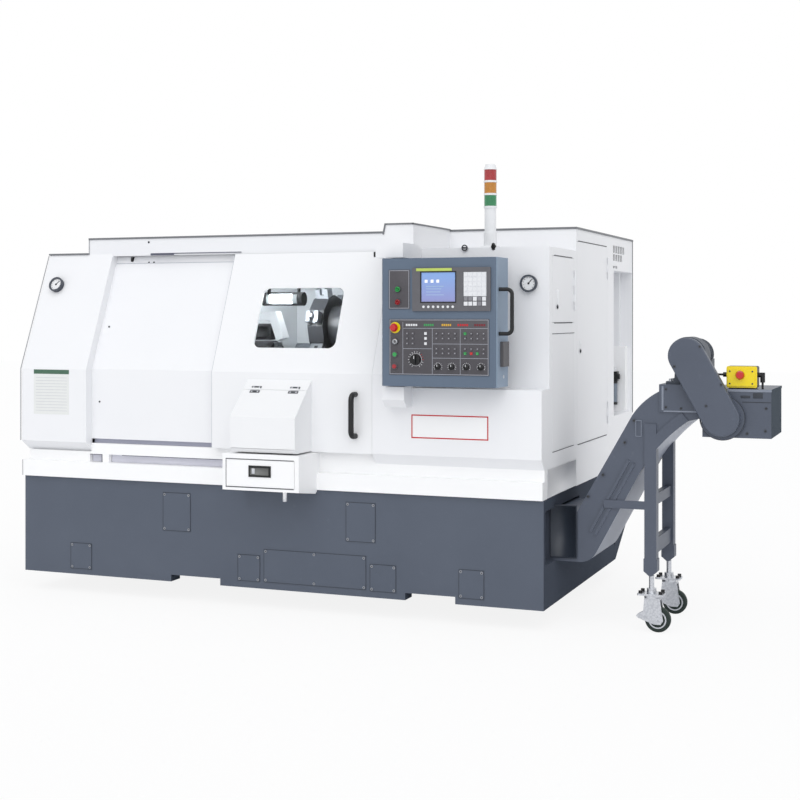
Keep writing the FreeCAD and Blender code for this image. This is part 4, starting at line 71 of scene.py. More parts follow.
def add_camera():
    bpy.ops.object.select_all(action="DESELECT")
    bpy.ops.object.camera_add(location=CAMERA_PLACE,
                              rotation=(math.radians(90), 0, math.radians(CAMERA_TURN)))
    camera = bpy.context.object
    camera.data.lens = CAMERA_LENS
    camera.data.shift_y = CAMERA_DROP
    camera.data.clip_end = 100
    bpy.context.scene.camera = camera


add_camera()


# ---- colour and nodes ----
def linear(code):
    """An sRGB hex colour as linear light."""
    parts = [int(code[i:i + 2], 16) / 255 for i in (0, 2, 4)]
    return tuple(p / 12.92 if p <= 0.04045 else ((p + 0.055) / 1.055) ** 2.4
                 for p in parts) + (1.0,)


def add_node(tree, kind, values=None, links=None, **settings):
    """Adds one shader node with its settings, socket values and incoming links."""
    node = tree.nodes.new("ShaderNode" + kind)
    for name, value in settings.items():
        setattr(node, name, value)
    for name, value in (values or {}).items():
        node.inputs[name].default_value = value
    for name, source in (links or {}).items():
        tree.links.new(source, node.inputs[name])
    return node


def start_material(name, **shader_values):
    """A new material: its node tree, its shader and the object's own coordinates."""
    material = bpy.data.materials.new(name)
    material.use_nodes = True
    tree = material.node_tree
    shader = tree.nodes["Principled BSDF"]
    for socket, value in shader_values.items():
        shader.inputs[socket.replace("_", " ")].default_value = value
    place = add_node(tree, "TexCoord").outputs["Object"]
    return material, tree, shader, place


def per_metre(size_mm):
    """A pattern's scale from the real size of one of its features."""
    return 1000.0 / size_mm


def noise(tree, place, size_mm, detail=2.0):
    """The factor of a noise whose features have that real size."""
    return add_node(tree, "TexNoise", {"Scale": per_metre(size_mm), "Detail": detail},
                    {"Vector": place}).outputs["Fac"]


# sockets of a colour mix: how much of the second, the two colours, and the result
SHARE, FIRST, SECOND, RESULT = 0, 6, 7, 2


def colour_by(tree, factor, colour, shade, *sockets):
    """Feeds the shader's colour sockets with a mix of two colours."""
    tone = add_node(tree, "Mix", {FIRST: linear(colour), SECOND: linear(shade)},
                    {SHARE: factor}, data_type="RGBA")
    for socket in sockets or ("Base Color",):
        tree.links.new(tone.outputs[RESULT], tree.nodes["Principled BSDF"].inputs[socket])


def range_to(tree, factor, low, high, socket="Roughness"):
    """Feeds one of the shader's sockets with the factor, spread from low to high."""
    spread = add_node(tree, "MapRange", {"To Min": low, "To Max": high}, {"Value": factor})
    tree.links.new(spread.outputs["Result"], tree.nodes["Principled BSDF"].inputs[socket])


def bump_by(tree, factor, strength, height_mm):
    """Raises the surface by a factor."""
    bump = add_node(tree, "Bump", {"Strength": strength, "Distance": height_mm * MM},
                    {"Height": factor})
    tree.links.new(bump.outputs["Normal"], tree.nodes["Principled BSDF"].inputs["Normal"])


# ---- finishes ----
def enamel(name, colour, shade, roughness=0.34, cloud_mm=420.0, peel_mm=7.0, peel=0.03,
           specular=0.45):
    """Sheet metal sprayed and baked: an even satin coat, a faint orange peel and
    slow clouds of tone where dust and hands have dulled it. The peel is really
    about 2 mm; it is drawn coarser so that it shows."""
    material, tree, shader, place = start_material(name, Roughness=roughness,
                                                   Specular_IOR_Level=specular)
    cloud = noise(tree, place, cloud_mm, 4.0)
    colour_by(tree, cloud, colour, shade)
    bump_by(tree, noise(tree, place, peel_mm), peel, 0.6)
    range_to(tree, cloud, roughness - 0.05, roughness + 0.08)
    return material


def worn_enamel(name, colour, shade, scuff, roughness=0.42, specular=0.45):
    """Dark machine enamel: the same sprayed coat, with pale scuffs and dried
    coolant spots that stay small and sparse."""
    material = enamel(name, colour, shade, roughness, cloud_mm=300.0, specular=specular)
    tree = material.node_tree
    shader = tree.nodes["Principled BSDF"]
    place = tree.nodes["Texture Coordinate"].outputs["Object"]
    tone = shader.inputs["Base Color"].links[0].from_socket
    spots = add_node(tree, "TexNoise", {"Scale": per_metre(45.0), "Detail": 6.0,
                                        "Roughness": 0.65}, {"Vector": place})
    sparse = add_node(tree, "MapRange", {"From Min": 0.64, "From Max": 0.78, "To Max": 0.35},
                      {"Value": spots.outputs["Fac"]})
    mixed = add_node(tree, "Mix", {SECOND: linear(scuff)},
                     {SHARE: sparse.outputs["Result"], FIRST: tone}, data_type="RGBA")
    tree.links.new(mixed.outputs[RESULT], shader.inputs["Base Color"])
    return material


def powder_coat(name, colour, shade):
    """Powder coat baked to a fine leather-like texture: it breaks up reflections.
    The texture is really about 1 mm; it is drawn at 4 mm so that it shows."""
    return enamel(name, colour, shade, 0.5, cloud_mm=200.0, peel_mm=4.0, peel=0.18)


def plastic(name, colour, shade, roughness=0.45, grain_mm=3.0, grain=0.06, coat=0.0):
    """Injection-moulded ABS: one colour through and through, a spark-eroded
    grain in the skin and a slightly uneven satin gloss."""
    material, tree, shader, place = start_material(name, Roughness=roughness, IOR=1.46,
                                                   Coat_Weight=coat, Coat_Roughness=0.08)
    colour_by(tree, noise(tree, place, 30.0, 3.0), colour, shade)
    bump_by(tree, noise(tree, place, grain_mm), grain, 0.4)
    return material


def ground_steel(name, colour, shade, roughness=0.3):
    """Bare machined steel: fine parallel grinding lines that streak the gloss.
    The lines are really under 0.1 mm; they are drawn wider so that they show."""
    material, tree, shader, place = start_material(name, Metallic=1.0, Roughness=roughness)
    drawn_out = add_node(tree, "Mapping", {"Scale": (1.0, 14.0, 14.0)}, {"Vector": place})
    lines = noise(tree, drawn_out.outputs["Vector"], 84.0, 5.0)
    colour_by(tree, lines, colour, shade)
    range_to(tree, lines, roughness - 0.08, roughness + 0.14)
    return material


def zinc_plate(name, colour, shade):
    """Bright zinc plating: a pale blue-white metal with faint crystal clouds."""
    material, tree, shader, place = start_material(name, Metallic=0.9, Roughness=0.32)
    spangle = add_node(tree, "TexVoronoi", {"Scale": per_metre(9.0)}, {"Vector": place})
    colour_by(tree, spangle.outputs["Distance"], colour, shade)
    return material


def painted_casting(name, colour, shade):
    """Filled and painted cast iron: soft lumps under a satin machine paint."""
    return enamel(name, colour, shade, 0.5, cloud_mm=120.0, peel_mm=12.0, peel=0.25)


def rubber(name, colour, shade, roughness=0.62):
    """Moulded rubber: nearly black, matt, with a dusty bloom on it."""
    return plastic(name, colour, shade, roughness, grain_mm=5.0, grain=0.12)


def screen_print(name, colour, shade, roughness=0.45):
    """Screen-printed ink: thin, even and satin, with no grain of its own."""
    return plastic(name, colour, shade, roughness, grain=0.0)


def safety_glass(name):
    """Laminated safety glass: clear with a faint grey tint and a smooth face. Its
    index is under the real 1.5, as the photograph shows hardly any reflection."""
    material, tree, shader, place = start_material(name, Roughness=0.02, IOR=1.15,
                                                   Transmission_Weight=1.0,
                                                   Specular_IOR_Level=0.15)
    colour_by(tree, noise(tree, place, 90.0, 3.0), "F2F6F7", "E6ECED")
    return material


def tinted_lens(name, colour, shade):
    """Fluted polycarbonate: deep colour that lets some light through."""
    material, tree, shader, place = start_material(
        name, Roughness=0.22, IOR=1.58, Transmission_Weight=0.25, Coat_Weight=0.4)
    colour_by(tree, noise(tree, place, 25.0), colour, shade)
    return material


SCREEN_BOTTOM, SCREEN_TOP = 1441, 1578     # heights of the lit glass, in millimetres


def lit_screen(name, top, bottom):
    """A lit display: a cool gradient from top to bottom that glows a little."""
    material, tree, shader, place = start_material(name, Roughness=0.12, Coat_Weight=0.5,
                                                   Emission_Strength=0.12)
    upright = add_node(tree, "SeparateXYZ", links={"Vector": place})
    height = add_node(tree, "MapRange", {"From Min": at(0, 0, SCREEN_BOTTOM).z,
                                        "From Max": at(0, 0, SCREEN_TOP).z},
                      {"Value": upright.outputs["Z"]})
    colour_by(tree, height.outputs["Result"], bottom, top, "Base Color", "Emission Color")
    return material


def lit_tube(name, colour, strength):
    """A frosted lamp tube that is switched on."""
    material, tree, shader, place = start_material(name, Roughness=0.35,
                                                   Emission_Strength=strength)
    colour_by(tree, noise(tree, place, 40.0), colour, "FFFFFF", "Base Color",
              "Emission Color")
    return material


FINISH = {
    # light sprayed enamel of the guards, doors and housings
    "shell": enamel("white sprayed enamel", "F3F4F6", "EFF0F3"),
    "door": enamel("white sprayed enamel, door", "F3F4F6", "EFF0F2", cloud_mm=350.0),
    "sill": enamel("white enamel, sill", "FDFDFD", "F8F9FA"),
    "box": enamel("white enamel, folded box", "FBFBFC", "F8F9FA", cloud_mm=180.0),
    "catcher": enamel("white enamel, catcher", "F3F4F5", "EFF0F2", cloud_mm=160.0),
    "chamber": enamel("light grey chamber enamel", "D6D8DA", "C9CCCF", 0.4, 260.0),
    # painted shadow: grey lines along sheet edges and folds
    "seam": enamel("shadowed sheet seam", "B9BCC4", "AEB1BA", cloud_mm=120.0),
    # painted shade: lavender grey for the sheets that stand in for the shade in the groove and
    # the slots
    "groove": enamel("shaded enamel sheet in the groove", "A9ABBB", "A0A2B3", cloud_mm=200.0),
    "slot_shade": enamel("shaded enamel sheet in the slots", "DCDCE6", "D2D2DE", cloud_mm=200.0),
    # dark blue-grey machine enamel, a little scuffed where feet and carts touch it
    "base": worn_enamel("dark blue grey enamel, base", "575F6D", "4E5664", "717986"),
    "conveyor": worn_enamel("dark grey enamel, conveyor", "575E6C", "4C5361", "747B88"),
    # painted light: the casing's downward faces are paler, for the light from the pale floor
    "conveyor_under": worn_enamel("grey enamel, painted floor light on underside", "A3A9B6", "989EAB", "B8BDC8"),
    # rubbed paint on the head's upper band; painted highlight on the drive box's edges and the
    # inspection plate's outline
    "worn_edge": enamel("rubbed conveyor edge and painted highlight", "8B92A0", "7C8391", cloud_mm=40.0),
    # painted shade: a dark coat for the sheet that stands in for the shade in the base's end
    # opening
    "trough_shade": worn_enamel("dark blue grey enamel, painted shade on trough side", "2F3641", "2A303A",
                                "4A515D"),
    # slate: a dark rail, and painted shadow lines inside the sill's slots
    "slate": enamel("slate enamel rail, and painted shadow lines in the slots", "55586A", "4C4F60", cloud_mm=90.0),
    # the ends turned from the light get painted shade: a darker coat with little
    # gloss, as nothing pale stands beside them to be reflected
    "base_shade": worn_enamel("dark blue grey enamel, painted shade on base end", "4A505C", "424954", "59606C",
                              0.75, 0.04),
    "head_end": worn_enamel("dark grey enamel, painted shade on head end", "49525B", "424A53", "59616B", 0.75,
                            0.04),
    # paint on castings, and powder coat
    "motor": painted_casting("hammered grey enamel", "454D59", "3A414C"),
    "casting": painted_casting("grey casting paint", "70757B", "63686E"),
    "blackened": painted_casting("blackened cast iron", "2F3034", "26272A"),
    "bezel": painted_casting("dark grey gauge case", "4A4F59", "40454E"),
    "control": powder_coat("blue grey powder coat", "617083", "586779"),
    # painted sheen: the control box's right side gets a paler coat for the light it reflects
    "control_side": powder_coat("blue grey powder coat, painted sheen on the side", "8FA0B3", "8495A8"),
    # moulded pieces
    "display": plastic("dark grey moulded ABS", "66666B", "5B5B60"),
    "dark_cover": plastic("dark port cover", "575557", "4C4A4D"),
    "foil": plastic("satin keypad foil", "514F54", "48464B", 0.38, grain=0.02),
    "black": plastic("black moulded nylon", "141518", "0E0F11"),
    "grip": plastic("black grip plastic", "191A1D", "121315", 0.5, grain=0.1),
    "latch_grey": plastic("grey latch recess", "7A7B7A", "6E6F6E"),
    "key_white": plastic("white key caps", "ECEDF0", "DFE1E5", 0.4),
    "key_grey": plastic("grey key caps", "8E8E94", "828288", 0.4),
    "key_dark": plastic("dark key caps", "5F5D63", "545258", 0.42),
    "red": plastic("red glossy ABS", "D11E22", "B9181C", 0.2, grain=0.0, coat=0.5),
    "dark_red": plastic("dark red glossy ABS", "A8262C", "93202A", 0.2, grain=0.0, coat=0.4),
    "green": plastic("green glossy ABS", "2FA452", "278C46", 0.22, grain=0.0, coat=0.4),
    "yellow": plastic("yellow glossy ABS", "F6DF12", "EBD20C", 0.28, grain=0.02, coat=0.3),
    "tower": plastic("light grey moulded ABS", "F0F1F3", "E6E8EA", 0.35),
    "filter": plastic("smoked filter bowls", "7D8894", "6F7A87", 0.25, coat=0.3),
    "tube_glass": plastic("frosted lamp tube", "D4D8D8", "C6CACB", 0.35, grain=0.02),
    "paper": plastic("bare printed label stock", "EAECEA", "E4E6E5", 0.55, grain=0.01),
    # rubber: cables, treads and edge trims; also the strips of painted shade, dark in
    # the door, drawer and cover gaps and the head's slots, pale along the left edges
    "cable": rubber("black cable sheath", "1C1C1F", "141416", 0.45),
    "tread": rubber("dark green rubber tread", "1E2F2A", "16231F"),
    # painted shade: dark strips in the door and drawer gaps
    "seal": rubber("dark painted shade in door and drawer gaps", "5A5C61", "4E5055"),
    # painted shade: dark strips in the cover gaps, the head's slots and fold, and the bearing's
    # joint
    "joint": rubber("dark painted shade in joints and slots", "3B4049", "33373F"),
    "trim": rubber("dark edge trim", "7A7C80", "6F7175", 0.5),
    # painted shade: pale grey strips on the left end's edges
    "pale_trim": rubber("pale grey painted shade on the left edges", "A6A8AC", "9A9CA1", 0.5),
    # printed lines, key marks and dials
    "print_white": screen_print("white screen print", "E6E7EA", "DCDDE1", 0.5),
    "print_red": screen_print("red screen print", "C8202A", "BA1C26"),
    "print_green": screen_print("green screen print", "3FA35C", "379553"),
    "print_yellow": screen_print("yellow screen print", "E3B23A", "D6A52F"),
    "print_maroon": screen_print("maroon screen print", "7E1F2C", "701924"),
    "lime": screen_print("yellow green print", "C3D66B", "B6CA5E", 0.4),
    "line_grey": screen_print("pale grey screen print", "B0B4BE", "A5A9B3"),
    "key_print": screen_print("pale key print", "B9BAC0", "ABACB3"),
    "faint_print": screen_print("faint grey label print", "D3D5D8", "CBCDD1", 0.55),
    "deep_green": screen_print("deep green label head", "4A6E59", "426450", 0.5),
    "dial": screen_print("white enamelled dial", "F3F4F5", "EAECEE", 0.4),
    "dark_print": screen_print("black dial print", "232326", "1B1B1E", 0.5),
    # metals
    "steel": ground_steel("ground tool steel", "B4B7BB", "94979C"),
    "belt": ground_steel("pressed belt steel", "8C8F94", "6F7277", 0.45),
    "screw": ground_steel("blackened screw heads", "5A5C61", "45474B", 0.4),
    "zinc": zinc_plate("bright zinc plate", "E0E2E6", "BFC2C8"),
    "dull_zinc": zinc_plate("dull zinc screw heads", "A9ACB2", "8E9197"),
    "hinge": zinc_plate("dark oxidised hinge steel", "5E6166", "4A4C51"),
    # glass, lenses and what gives light
    "glass": safety_glass("laminated safety glass"),
    "lens_green": tinted_lens("green polycarbonate lens", "1F9A5E", "17804D"),
    "lens_amber": tinted_lens("amber polycarbonate lens", "DE9420", "C98216"),
    "lens_red": tinted_lens("red polycarbonate lens", "C4232B", "A81C24"),
    "screen": lit_screen("lit display", "7FA4DC", "8B8FC4"),
    "screen_white": lit_screen("white picture keys", "FFFFFF", "F4F6FF"),
    "screen_row": lit_screen("pale green rows", "9CC3C4", "A3B7DC"),
    "frosted": lit_tube("lit frosted lamp tube", "F8FAFF", 300.0),
}


def paint(obj, *names):
    """Gives a piece its finishes; the first covers every face."""
    obj.data.materials.clear()
    for name in names:
        obj.data.materials.append(FINISH[name])
    obj.data.polygons.foreach_set("material_index", [0] * len(obj.data.polygons))
    return obj


def paint_faces(obj, index, wanted):
    """Gives one of a piece's finishes to the faces whose place and normal fit."""
    for face in obj.data.polygons:
        if wanted(place_of(face.center), face.normal):
            face.material_index = index


def paint_node(name, finishes, *rules):
    """Paints one solid of the frame: the first finish covers it, and each rule
    says which faces get the next finish."""
    paint(nodes[name], *finishes)
    for index, wanted in enumerate(rules, 1):
        paint_faces(nodes[name], index, wanted)


NODES_BY_FINISH = {
    "base": "base_covers",
    "shell": "left_guard recess_panel front_roof right_housing rear_cabinet service_door "
             "cabinet_door",
    "sill": "sill_rail", "door": "sliding_door", "catcher": "catcher_hood catcher_flap",
    "box": "parts_drawer", "chamber": "chamber_walls",
    "casting": "machine_bed headstock saddle tailstock_body",
    "blackened": "levelling_feet chuck_body cross_slide turret_disc",
    "steel": "chuck_jaw_1 chuck_jaw_2 chuck_jaw_3 tool_holders tailstock_quill",
    "glass": "door_window", "black": "door_handle mode_knob", "grip": "control_handle",
    "bezel": "pressure_gauges", "tower": "signal_tower", "lens_green": "tower_lens_green",
    "lens_amber": "tower_lens_amber", "lens_red": "tower_lens_red", "foil": "operator_panel",
    "red": "estop_button conveyor_stop_button", "green": "start_button",
    "dark_red": "hold_button", "conveyor": "chain_guard conveyor_legs",
    "belt": "conveyor_belt", "motor": "gear_motor", "cable": "conveyor_cables",
    "zinc": "caster_fork_1 caster_fork_2",
}
for finish_name, node_names in NODES_BY_FINISH.items():
    for node_name in node_names.split():
        paint(nodes[node_name], finish_name)

# painted shade: the base's right end faces get the darker coat
paint_node("base_skirt", ("base", "base_shade"), lambda place, normal: normal.x > 0.6)
# a bright drain spigot under the parts box
paint_node("parts_box", ("box", "zinc"), lambda place, normal: place.z < 496)


# ---- modelling helpers ----
def select_only(obj):
    bpy.ops.object.select_all(action="DESELECT")
    obj.select_set(True)
    bpy.context.view_layer.objects.active = obj


def deselect():
    bpy.ops.object.select_all(action="DESELECT")


def edit():
    bpy.ops.object.mode_set(mode="EDIT")


def take_all():
    bpy.ops.mesh.select_all(action="SELECT")


def draw_out(step):
    """Extrudes what is selected by a step in metres."""
    bpy.ops.mesh.extrude_region_move(TRANSFORM_OT_translate={"value": step})


def leave_edit():
    bpy.ops.object.mode_set(mode="OBJECT")


def settle(name):
    """Names the new piece and moves its place and turn into its mesh."""
    obj = bpy.context.object
    obj.name = name
    select_only(obj)
    bpy.ops.object.transform_apply(location=True, rotation=True, scale=True)
    return obj


def modify(obj, kind, **settings):
    """Adds a modifier with its settings and applies it."""
    select_only(obj)
    modifier = obj.modifiers.new(kind.lower(), kind)
    for name, value in settings.items():
        setattr(modifier, name, value)
    bpy.ops.object.modifier_apply(modifier=modifier.name)
    return obj


def smooth():
    bpy.ops.object.shade_smooth_by_angle(angle=math.radians(35))


def soften(obj, width):
    """Breaks the piece's sharp edges."""
    modify(obj, "BEVEL", width=width * MM, segments=2, limit_method="ANGLE")
    smooth()
    return obj


def add_block(name, low, high, edge=0.0, turn=0.0):
    """A plate or bar between two corners in millimetres; turn tips it about X."""
    low, high = at(*low), at(*high)
    deselect()
    bpy.ops.mesh.primitive_cube_add(size=1, location=(low + high) / 2, scale=high - low,
                                    rotation=(math.radians(turn), 0, 0))
    obj = settle(name)
    return soften(obj, edge) if edge else obj


TURN_TO = {"x": (0, math.radians(90), 0), "y": (math.radians(90), 0, 0), "z": (0, 0, 0)}


def add_round(name, centre, radius, length, axis="y", sides=32, edge=0.0):
    """A turned piece centred on a point, along x, y or z."""
    deselect()
    bpy.ops.mesh.primitive_cylinder_add(vertices=sides, radius=radius * MM, depth=length * MM,
                                        location=at(*centre), rotation=TURN_TO[axis])
    obj = settle(name)
    return soften(obj, edge) if edge else obj


def open_faces(obj, wanted):
    """Opens the piece in edit mode with only the faces that fit selected."""
    select_only(obj)
    edit()
    bpy.ops.mesh.select_mode(type="FACE")
    bpy.ops.mesh.select_all(action="DESELECT")
    leave_edit()
    for face in obj.data.polygons:
        face.select = wanted(place_of(face.center), face.normal)
    edit()


def to_front(place, normal):
    return normal.y < -0.9


def to_right(place, normal):
    return normal.x > 0.9


def to_left(place, normal):
    return normal.x < -0.9


def sink(obj, border, depth, wanted=to_front, finish=None):
    """Insets the wanted faces by a border and pushes them in, or out if depth is
    positive; finish is the number of the finish that the pushed face gets."""
    open_faces(obj, wanted)
    bpy.ops.mesh.inset(thickness=border * MM)
    bpy.ops.mesh.inset(thickness=0.05 * MM, depth=depth * MM)
    if finish is not None:
        obj.active_material_index = finish
        bpy.ops.object.material_slot_assign()
    leave_edit()
    return obj


def add_frame(name, low_x, high_x, low_z, high_z, front, width, depth=1.0):
    """A thin flat frame that faces the front, its front face at that depth."""
    deselect()
    low, high = at(low_x, front, low_z), at(high_x, front, high_z)
    bpy.ops.mesh.primitive_plane_add(size=1, location=(low + high) / 2,
                                     rotation=(math.radians(90), 0, 0))
    bpy.context.object.scale = (high.x - low.x, high.z - low.z, 1)
    obj = settle(name)
    open_faces(obj, lambda place, normal: True)
    bpy.ops.mesh.inset(thickness=width * MM)
    bpy.ops.mesh.delete(type="FACE")
    take_all()
    draw_out((0, depth * MM, 0))
    take_all()
    bpy.ops.mesh.normals_make_consistent(inside=False)
    leave_edit()
    return obj


def add_edging(name, path, across, thickness):
    """A strip of edging: its line is drawn point by point in millimetres, drawn
    out across, and given its thickness."""
    deselect()
    bpy.ops.mesh.primitive_plane_add(size=MM, location=at(*path[0]))
    obj = settle(name)
    edit()
    bpy.ops.mesh.select_mode(type="VERT")
    take_all()
    bpy.ops.mesh.merge(type="CENTER")
    for start, end in zip(path, path[1:]):
        draw_out((Vector(end) - Vector(start)) * MM)
    take_all()
    draw_out(Vector(across) * MM)
    take_all()
    bpy.ops.mesh.remove_doubles(threshold=0.0002)
    bpy.ops.mesh.normals_make_consistent(inside=False)
    leave_edit()
    return modify(obj, "SOLIDIFY", thickness=thickness * MM, offset=0, use_even_offset=True)


def bore(obj, cutters):
    """Cuts the cutters' shapes out of a piece and takes the cutters away."""
    for cutter in cutters:
        modify(obj, "BOOLEAN", operation="DIFFERENCE", solver="EXACT", object=cutter)
        bpy.data.objects.remove(cutter)
    return obj


def add_copies(obj, shifts):
    """The piece and a copy of it at each shift in millimetres, each its own mesh."""
    row = [obj]
    for shift in shifts:
        select_only(obj)
        bpy.ops.object.duplicate()
        bpy.context.object.location = Vector(shift) * MM
        row.append(settle(obj.name))
    return row


def spread(obj, places):
    """A copy of the piece at each place; the piece itself goes."""
    row = add_copies(obj, places)
    bpy.data.objects.remove(row.pop(0))
    return row


def make_one(name, pieces):
    """Joins pieces that belong together."""
    deselect()
    for piece in pieces:
        piece.select_set(True)
    bpy.context.view_layer.objects.active = pieces[0]
    bpy.ops.object.join()
    bpy.context.object.name = name
    return bpy.context.object


def fit(obj, *finishes, body="machine", slot=None):
    """Paints a piece, if finishes are given, and fixes it to the body it moves with."""
    if finishes:
        paint(obj, *finishes)
    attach(obj, body)


def fit_set(name, pieces, *finishes, body="machine", slot=None):
    """Joins pieces that belong together and fits them as one."""
    fit(make_one(name, pieces), *finishes, body=body, slot=slot)


# ---- driving places of the guards, in millimetres from the corner ----
LEFT_END, REAR = -2900, 1952
GUARD_FACE, BEND_Z, LEAN = -35, 1092, math.tan(math.radians(22.5))    # upright, then leaning
GUARD_BOTTOM, GUARD_TOP = 706, 1708
CABINET_FRONT, CABINET_TOP = 605, 1816
BASE_TOP, GUARD_FOOT = 517, 653
RECESS_LEFT, DOOR_LEFT, SLOT_RIGHT = -2487, -1704, -1570

# ---- edging, painted shadow lines and small fixings of the guards ----
edging = [
    add_edging("roof_edging", [(LEFT_END - 2, CABINET_FRONT, CABINET_TOP),
                               (2, CABINET_FRONT, CABINET_TOP), (2, REAR, CABINET_TOP),
                               (LEFT_END - 2, REAR, CABINET_TOP),
                               (LEFT_END - 2, CABINET_FRONT, CABINET_TOP)], (0, 0, 10.5), 5),
    add_edging("hood_edging", [(-835, 66, 1776), (-824, 66, 1827), (-675, 66, 1827)],
               (0, 8, 0), 8),
    add_block("hood_edging_back", (-680, 66, 1822), (-672, CABINET_FRONT + 1, 1830)),
    add_block("guard_edging", (LEFT_END - 2, 213, 1711), (-2640, 226, 1720), 3.0),
    add_block("rear_corner_edging", (0, REAR - 6, 800), (3, REAR + 1, CABINET_TOP)),
]
fit_set("dark_edging", edging, "trim")
# painted shade: pale grey strips along the left end's edges, where the rounded edge turns from
# the light
left_edge_shade_strips = [
    add_edging("guard_side_edging", [(LEFT_END - 1, GUARD_FACE - 2, GUARD_BOTTOM),
                                     (LEFT_END - 1, GUARD_FACE - 2, BEND_Z),
                                     (LEFT_END - 1, 218, GUARD_TOP)], (-3, 0, 0), 4),
    add_block("sill_end_edging", (LEFT_END - 3, -22, BASE_TOP - 1), (LEFT_END, -18, 600)),
    add_block("cabinet_corner_edging", (LEFT_END - 3, CABINET_FRONT - 2, 1722),
              (LEFT_END, CABINET_FRONT + 3, CABINET_TOP)),
]
fit_set("left_edge_shade_strips", left_edge_shade_strips, "pale_trim")
# painted shadow: a grey line down the sliding door's left edge
fit(add_edging("door_edge_shadow_line", [(-1736, GUARD_FACE + 1, GUARD_BOTTOM),
                                  (-1736, GUARD_FACE + 1, BEND_Z), (-1736, 215, 1694)],
               (2, 0, 0), 2), "seam", body="door")
# lavender grey sheets of painted shade in the groove under the fixed panel and in the sill's
# slots
fit(add_block("groove_sheet", (RECESS_LEFT + 3, 38, 701), (DOOR_LEFT, 41, 723)), "groove")
slots = [add_block("slot_sheet", (left, 40, 601), (right, 43, 641))
         for left, right in ((-2496, -2422), (-2378, SLOT_RIGHT))]
fit_set("slot_sheets", slots, "slot_shade")
# painted shadow: dark slate lines under the top edge and at the right end inside each slot
slot_shadow_lines = [add_block("slot_shadow_edge", (left, 16.0, 638.5), (right, 18.5, 641.8))
              for left, right in ((-2496, -2422), (-2300, SLOT_RIGHT))]
slot_shadow_lines += [add_block("slot_shadow_end", (right - 3.5, 16.0, 601), (right - 0.5, 30, 641))
               for right in (-2422, SLOT_RIGHT)]
fit_set("slot_shadow_lines", slot_shadow_lines, "slate")
fit_set("door_top_rail", [
    add_block("rail_end", (-2250, 216.5, 1701.5), (-2107, 222, 1713), 1.5),
    add_block("rail", (-2107, 216.5, 1708.5), (-1700, 222, 1713), 1.0)], "slate")
# painted shadow: a grey line under the fold near the top of the fixed panel
fit(add_block("recess_panel_fold_shadow", (RECESS_LEFT, 254.5, 1659.5), (DOOR_LEFT, 257.0, 1662.5)),
    "seam")


def add_plug(name, x, z, front):
    """A black rubber stop on the leaning front."""
    y = front + (z - BEND_Z) * LEAN
    plug = add_block(name, (x - 8, y - 9, z - 13), (x + 8, y + 8, z + 13), 3.0)
    sink(plug, 3.0, 1.5)
    return plug


fit(add_plug("door_stop_plug", -2391, 1683, 20), "black")
fit(add_plug("closing_plug", -934, 1685, GUARD_FACE), "black", body="door")


def screw_head(name, centre, radius=8.0, proud=2.5, finish="screw"):
    """A pan-head screw that looks to the front: a low dome with a socket."""
    x, y, z = centre
    head = paint(add_round(name, (x, y - proud / 2, z), radius, proud, "y", 12), finish, "black")
    sink(head, radius * 0.2, proud * 0.25)
    return sink(head, radius * 0.35, -proud * 0.4, finish=1,
                wanted=lambda place, normal: normal.y < -0.95 and place.y < y - proud * 1.2)


guard_screws = add_copies(screw_head("guard_screw", (-2441, 20, 920), 5.0, 2.0),
                          [(-1, 92, 397), (157, 238, 745), (189, 237, 745)])
guard_screws += add_copies(screw_head("cabinet_screw", (-2501, 607, 1796), 6.0, 2.0),
                           [(250, 0, -70)])
fit_set("guard_screws", guard_screws)

# the sheets that close both ends between the housing and the base
for name, left, right, outward in (("end_apron", -4, 0, to_right),
                                   ("left_end_apron", LEFT_END + 1, LEFT_END + 5, to_left)):
    apron = add_block(name, (left, 62, BASE_TOP), (right, 603, GUARD_FOOT), 1.0)
    fit(sink(apron, 4.0, -0.8, outward), "shell")

# side doors: dark strips of painted shade in the gaps above and below, and round the fixed panel
door_gap_strips = [add_block("seal", (-2, y0, z), (1.5, y1, z + 4.5))
         for y0, y1, z in ((186, 526, 1663.5), (186, 526, 1339.5), (650, 1276, 1754.5),
                           (640, 1276, 718.0))]
door_gap_strips += [add_block("panel_line", (-1, y0, z), (0.6, y1, z + 3.0))
          for y0, y1, z in ((150, 570, 1289), (152, 560, 724))]
fit_set("side_door_gap_shade", door_gap_strips, "seal")
for name, y, z, body in (("hatch_lock", 240, 1419, "side_hatch"),
                         ("cabinet_lock", 690, 1196, "electrical_door")):
    lock = add_round(name, (2, y, z), 8.0, 4.0, "x", 24, 1.0)
    fit(sink(lock, 3.5, -1.0, to_right), "screw", body=body)
# black mesh behind the ventilation holes
mesh = add_block("louvre_mesh", (-13, 1436, 1634), (-9, 1760, 1776))
fit(sink(mesh, 6, 1.0, to_right), "black")

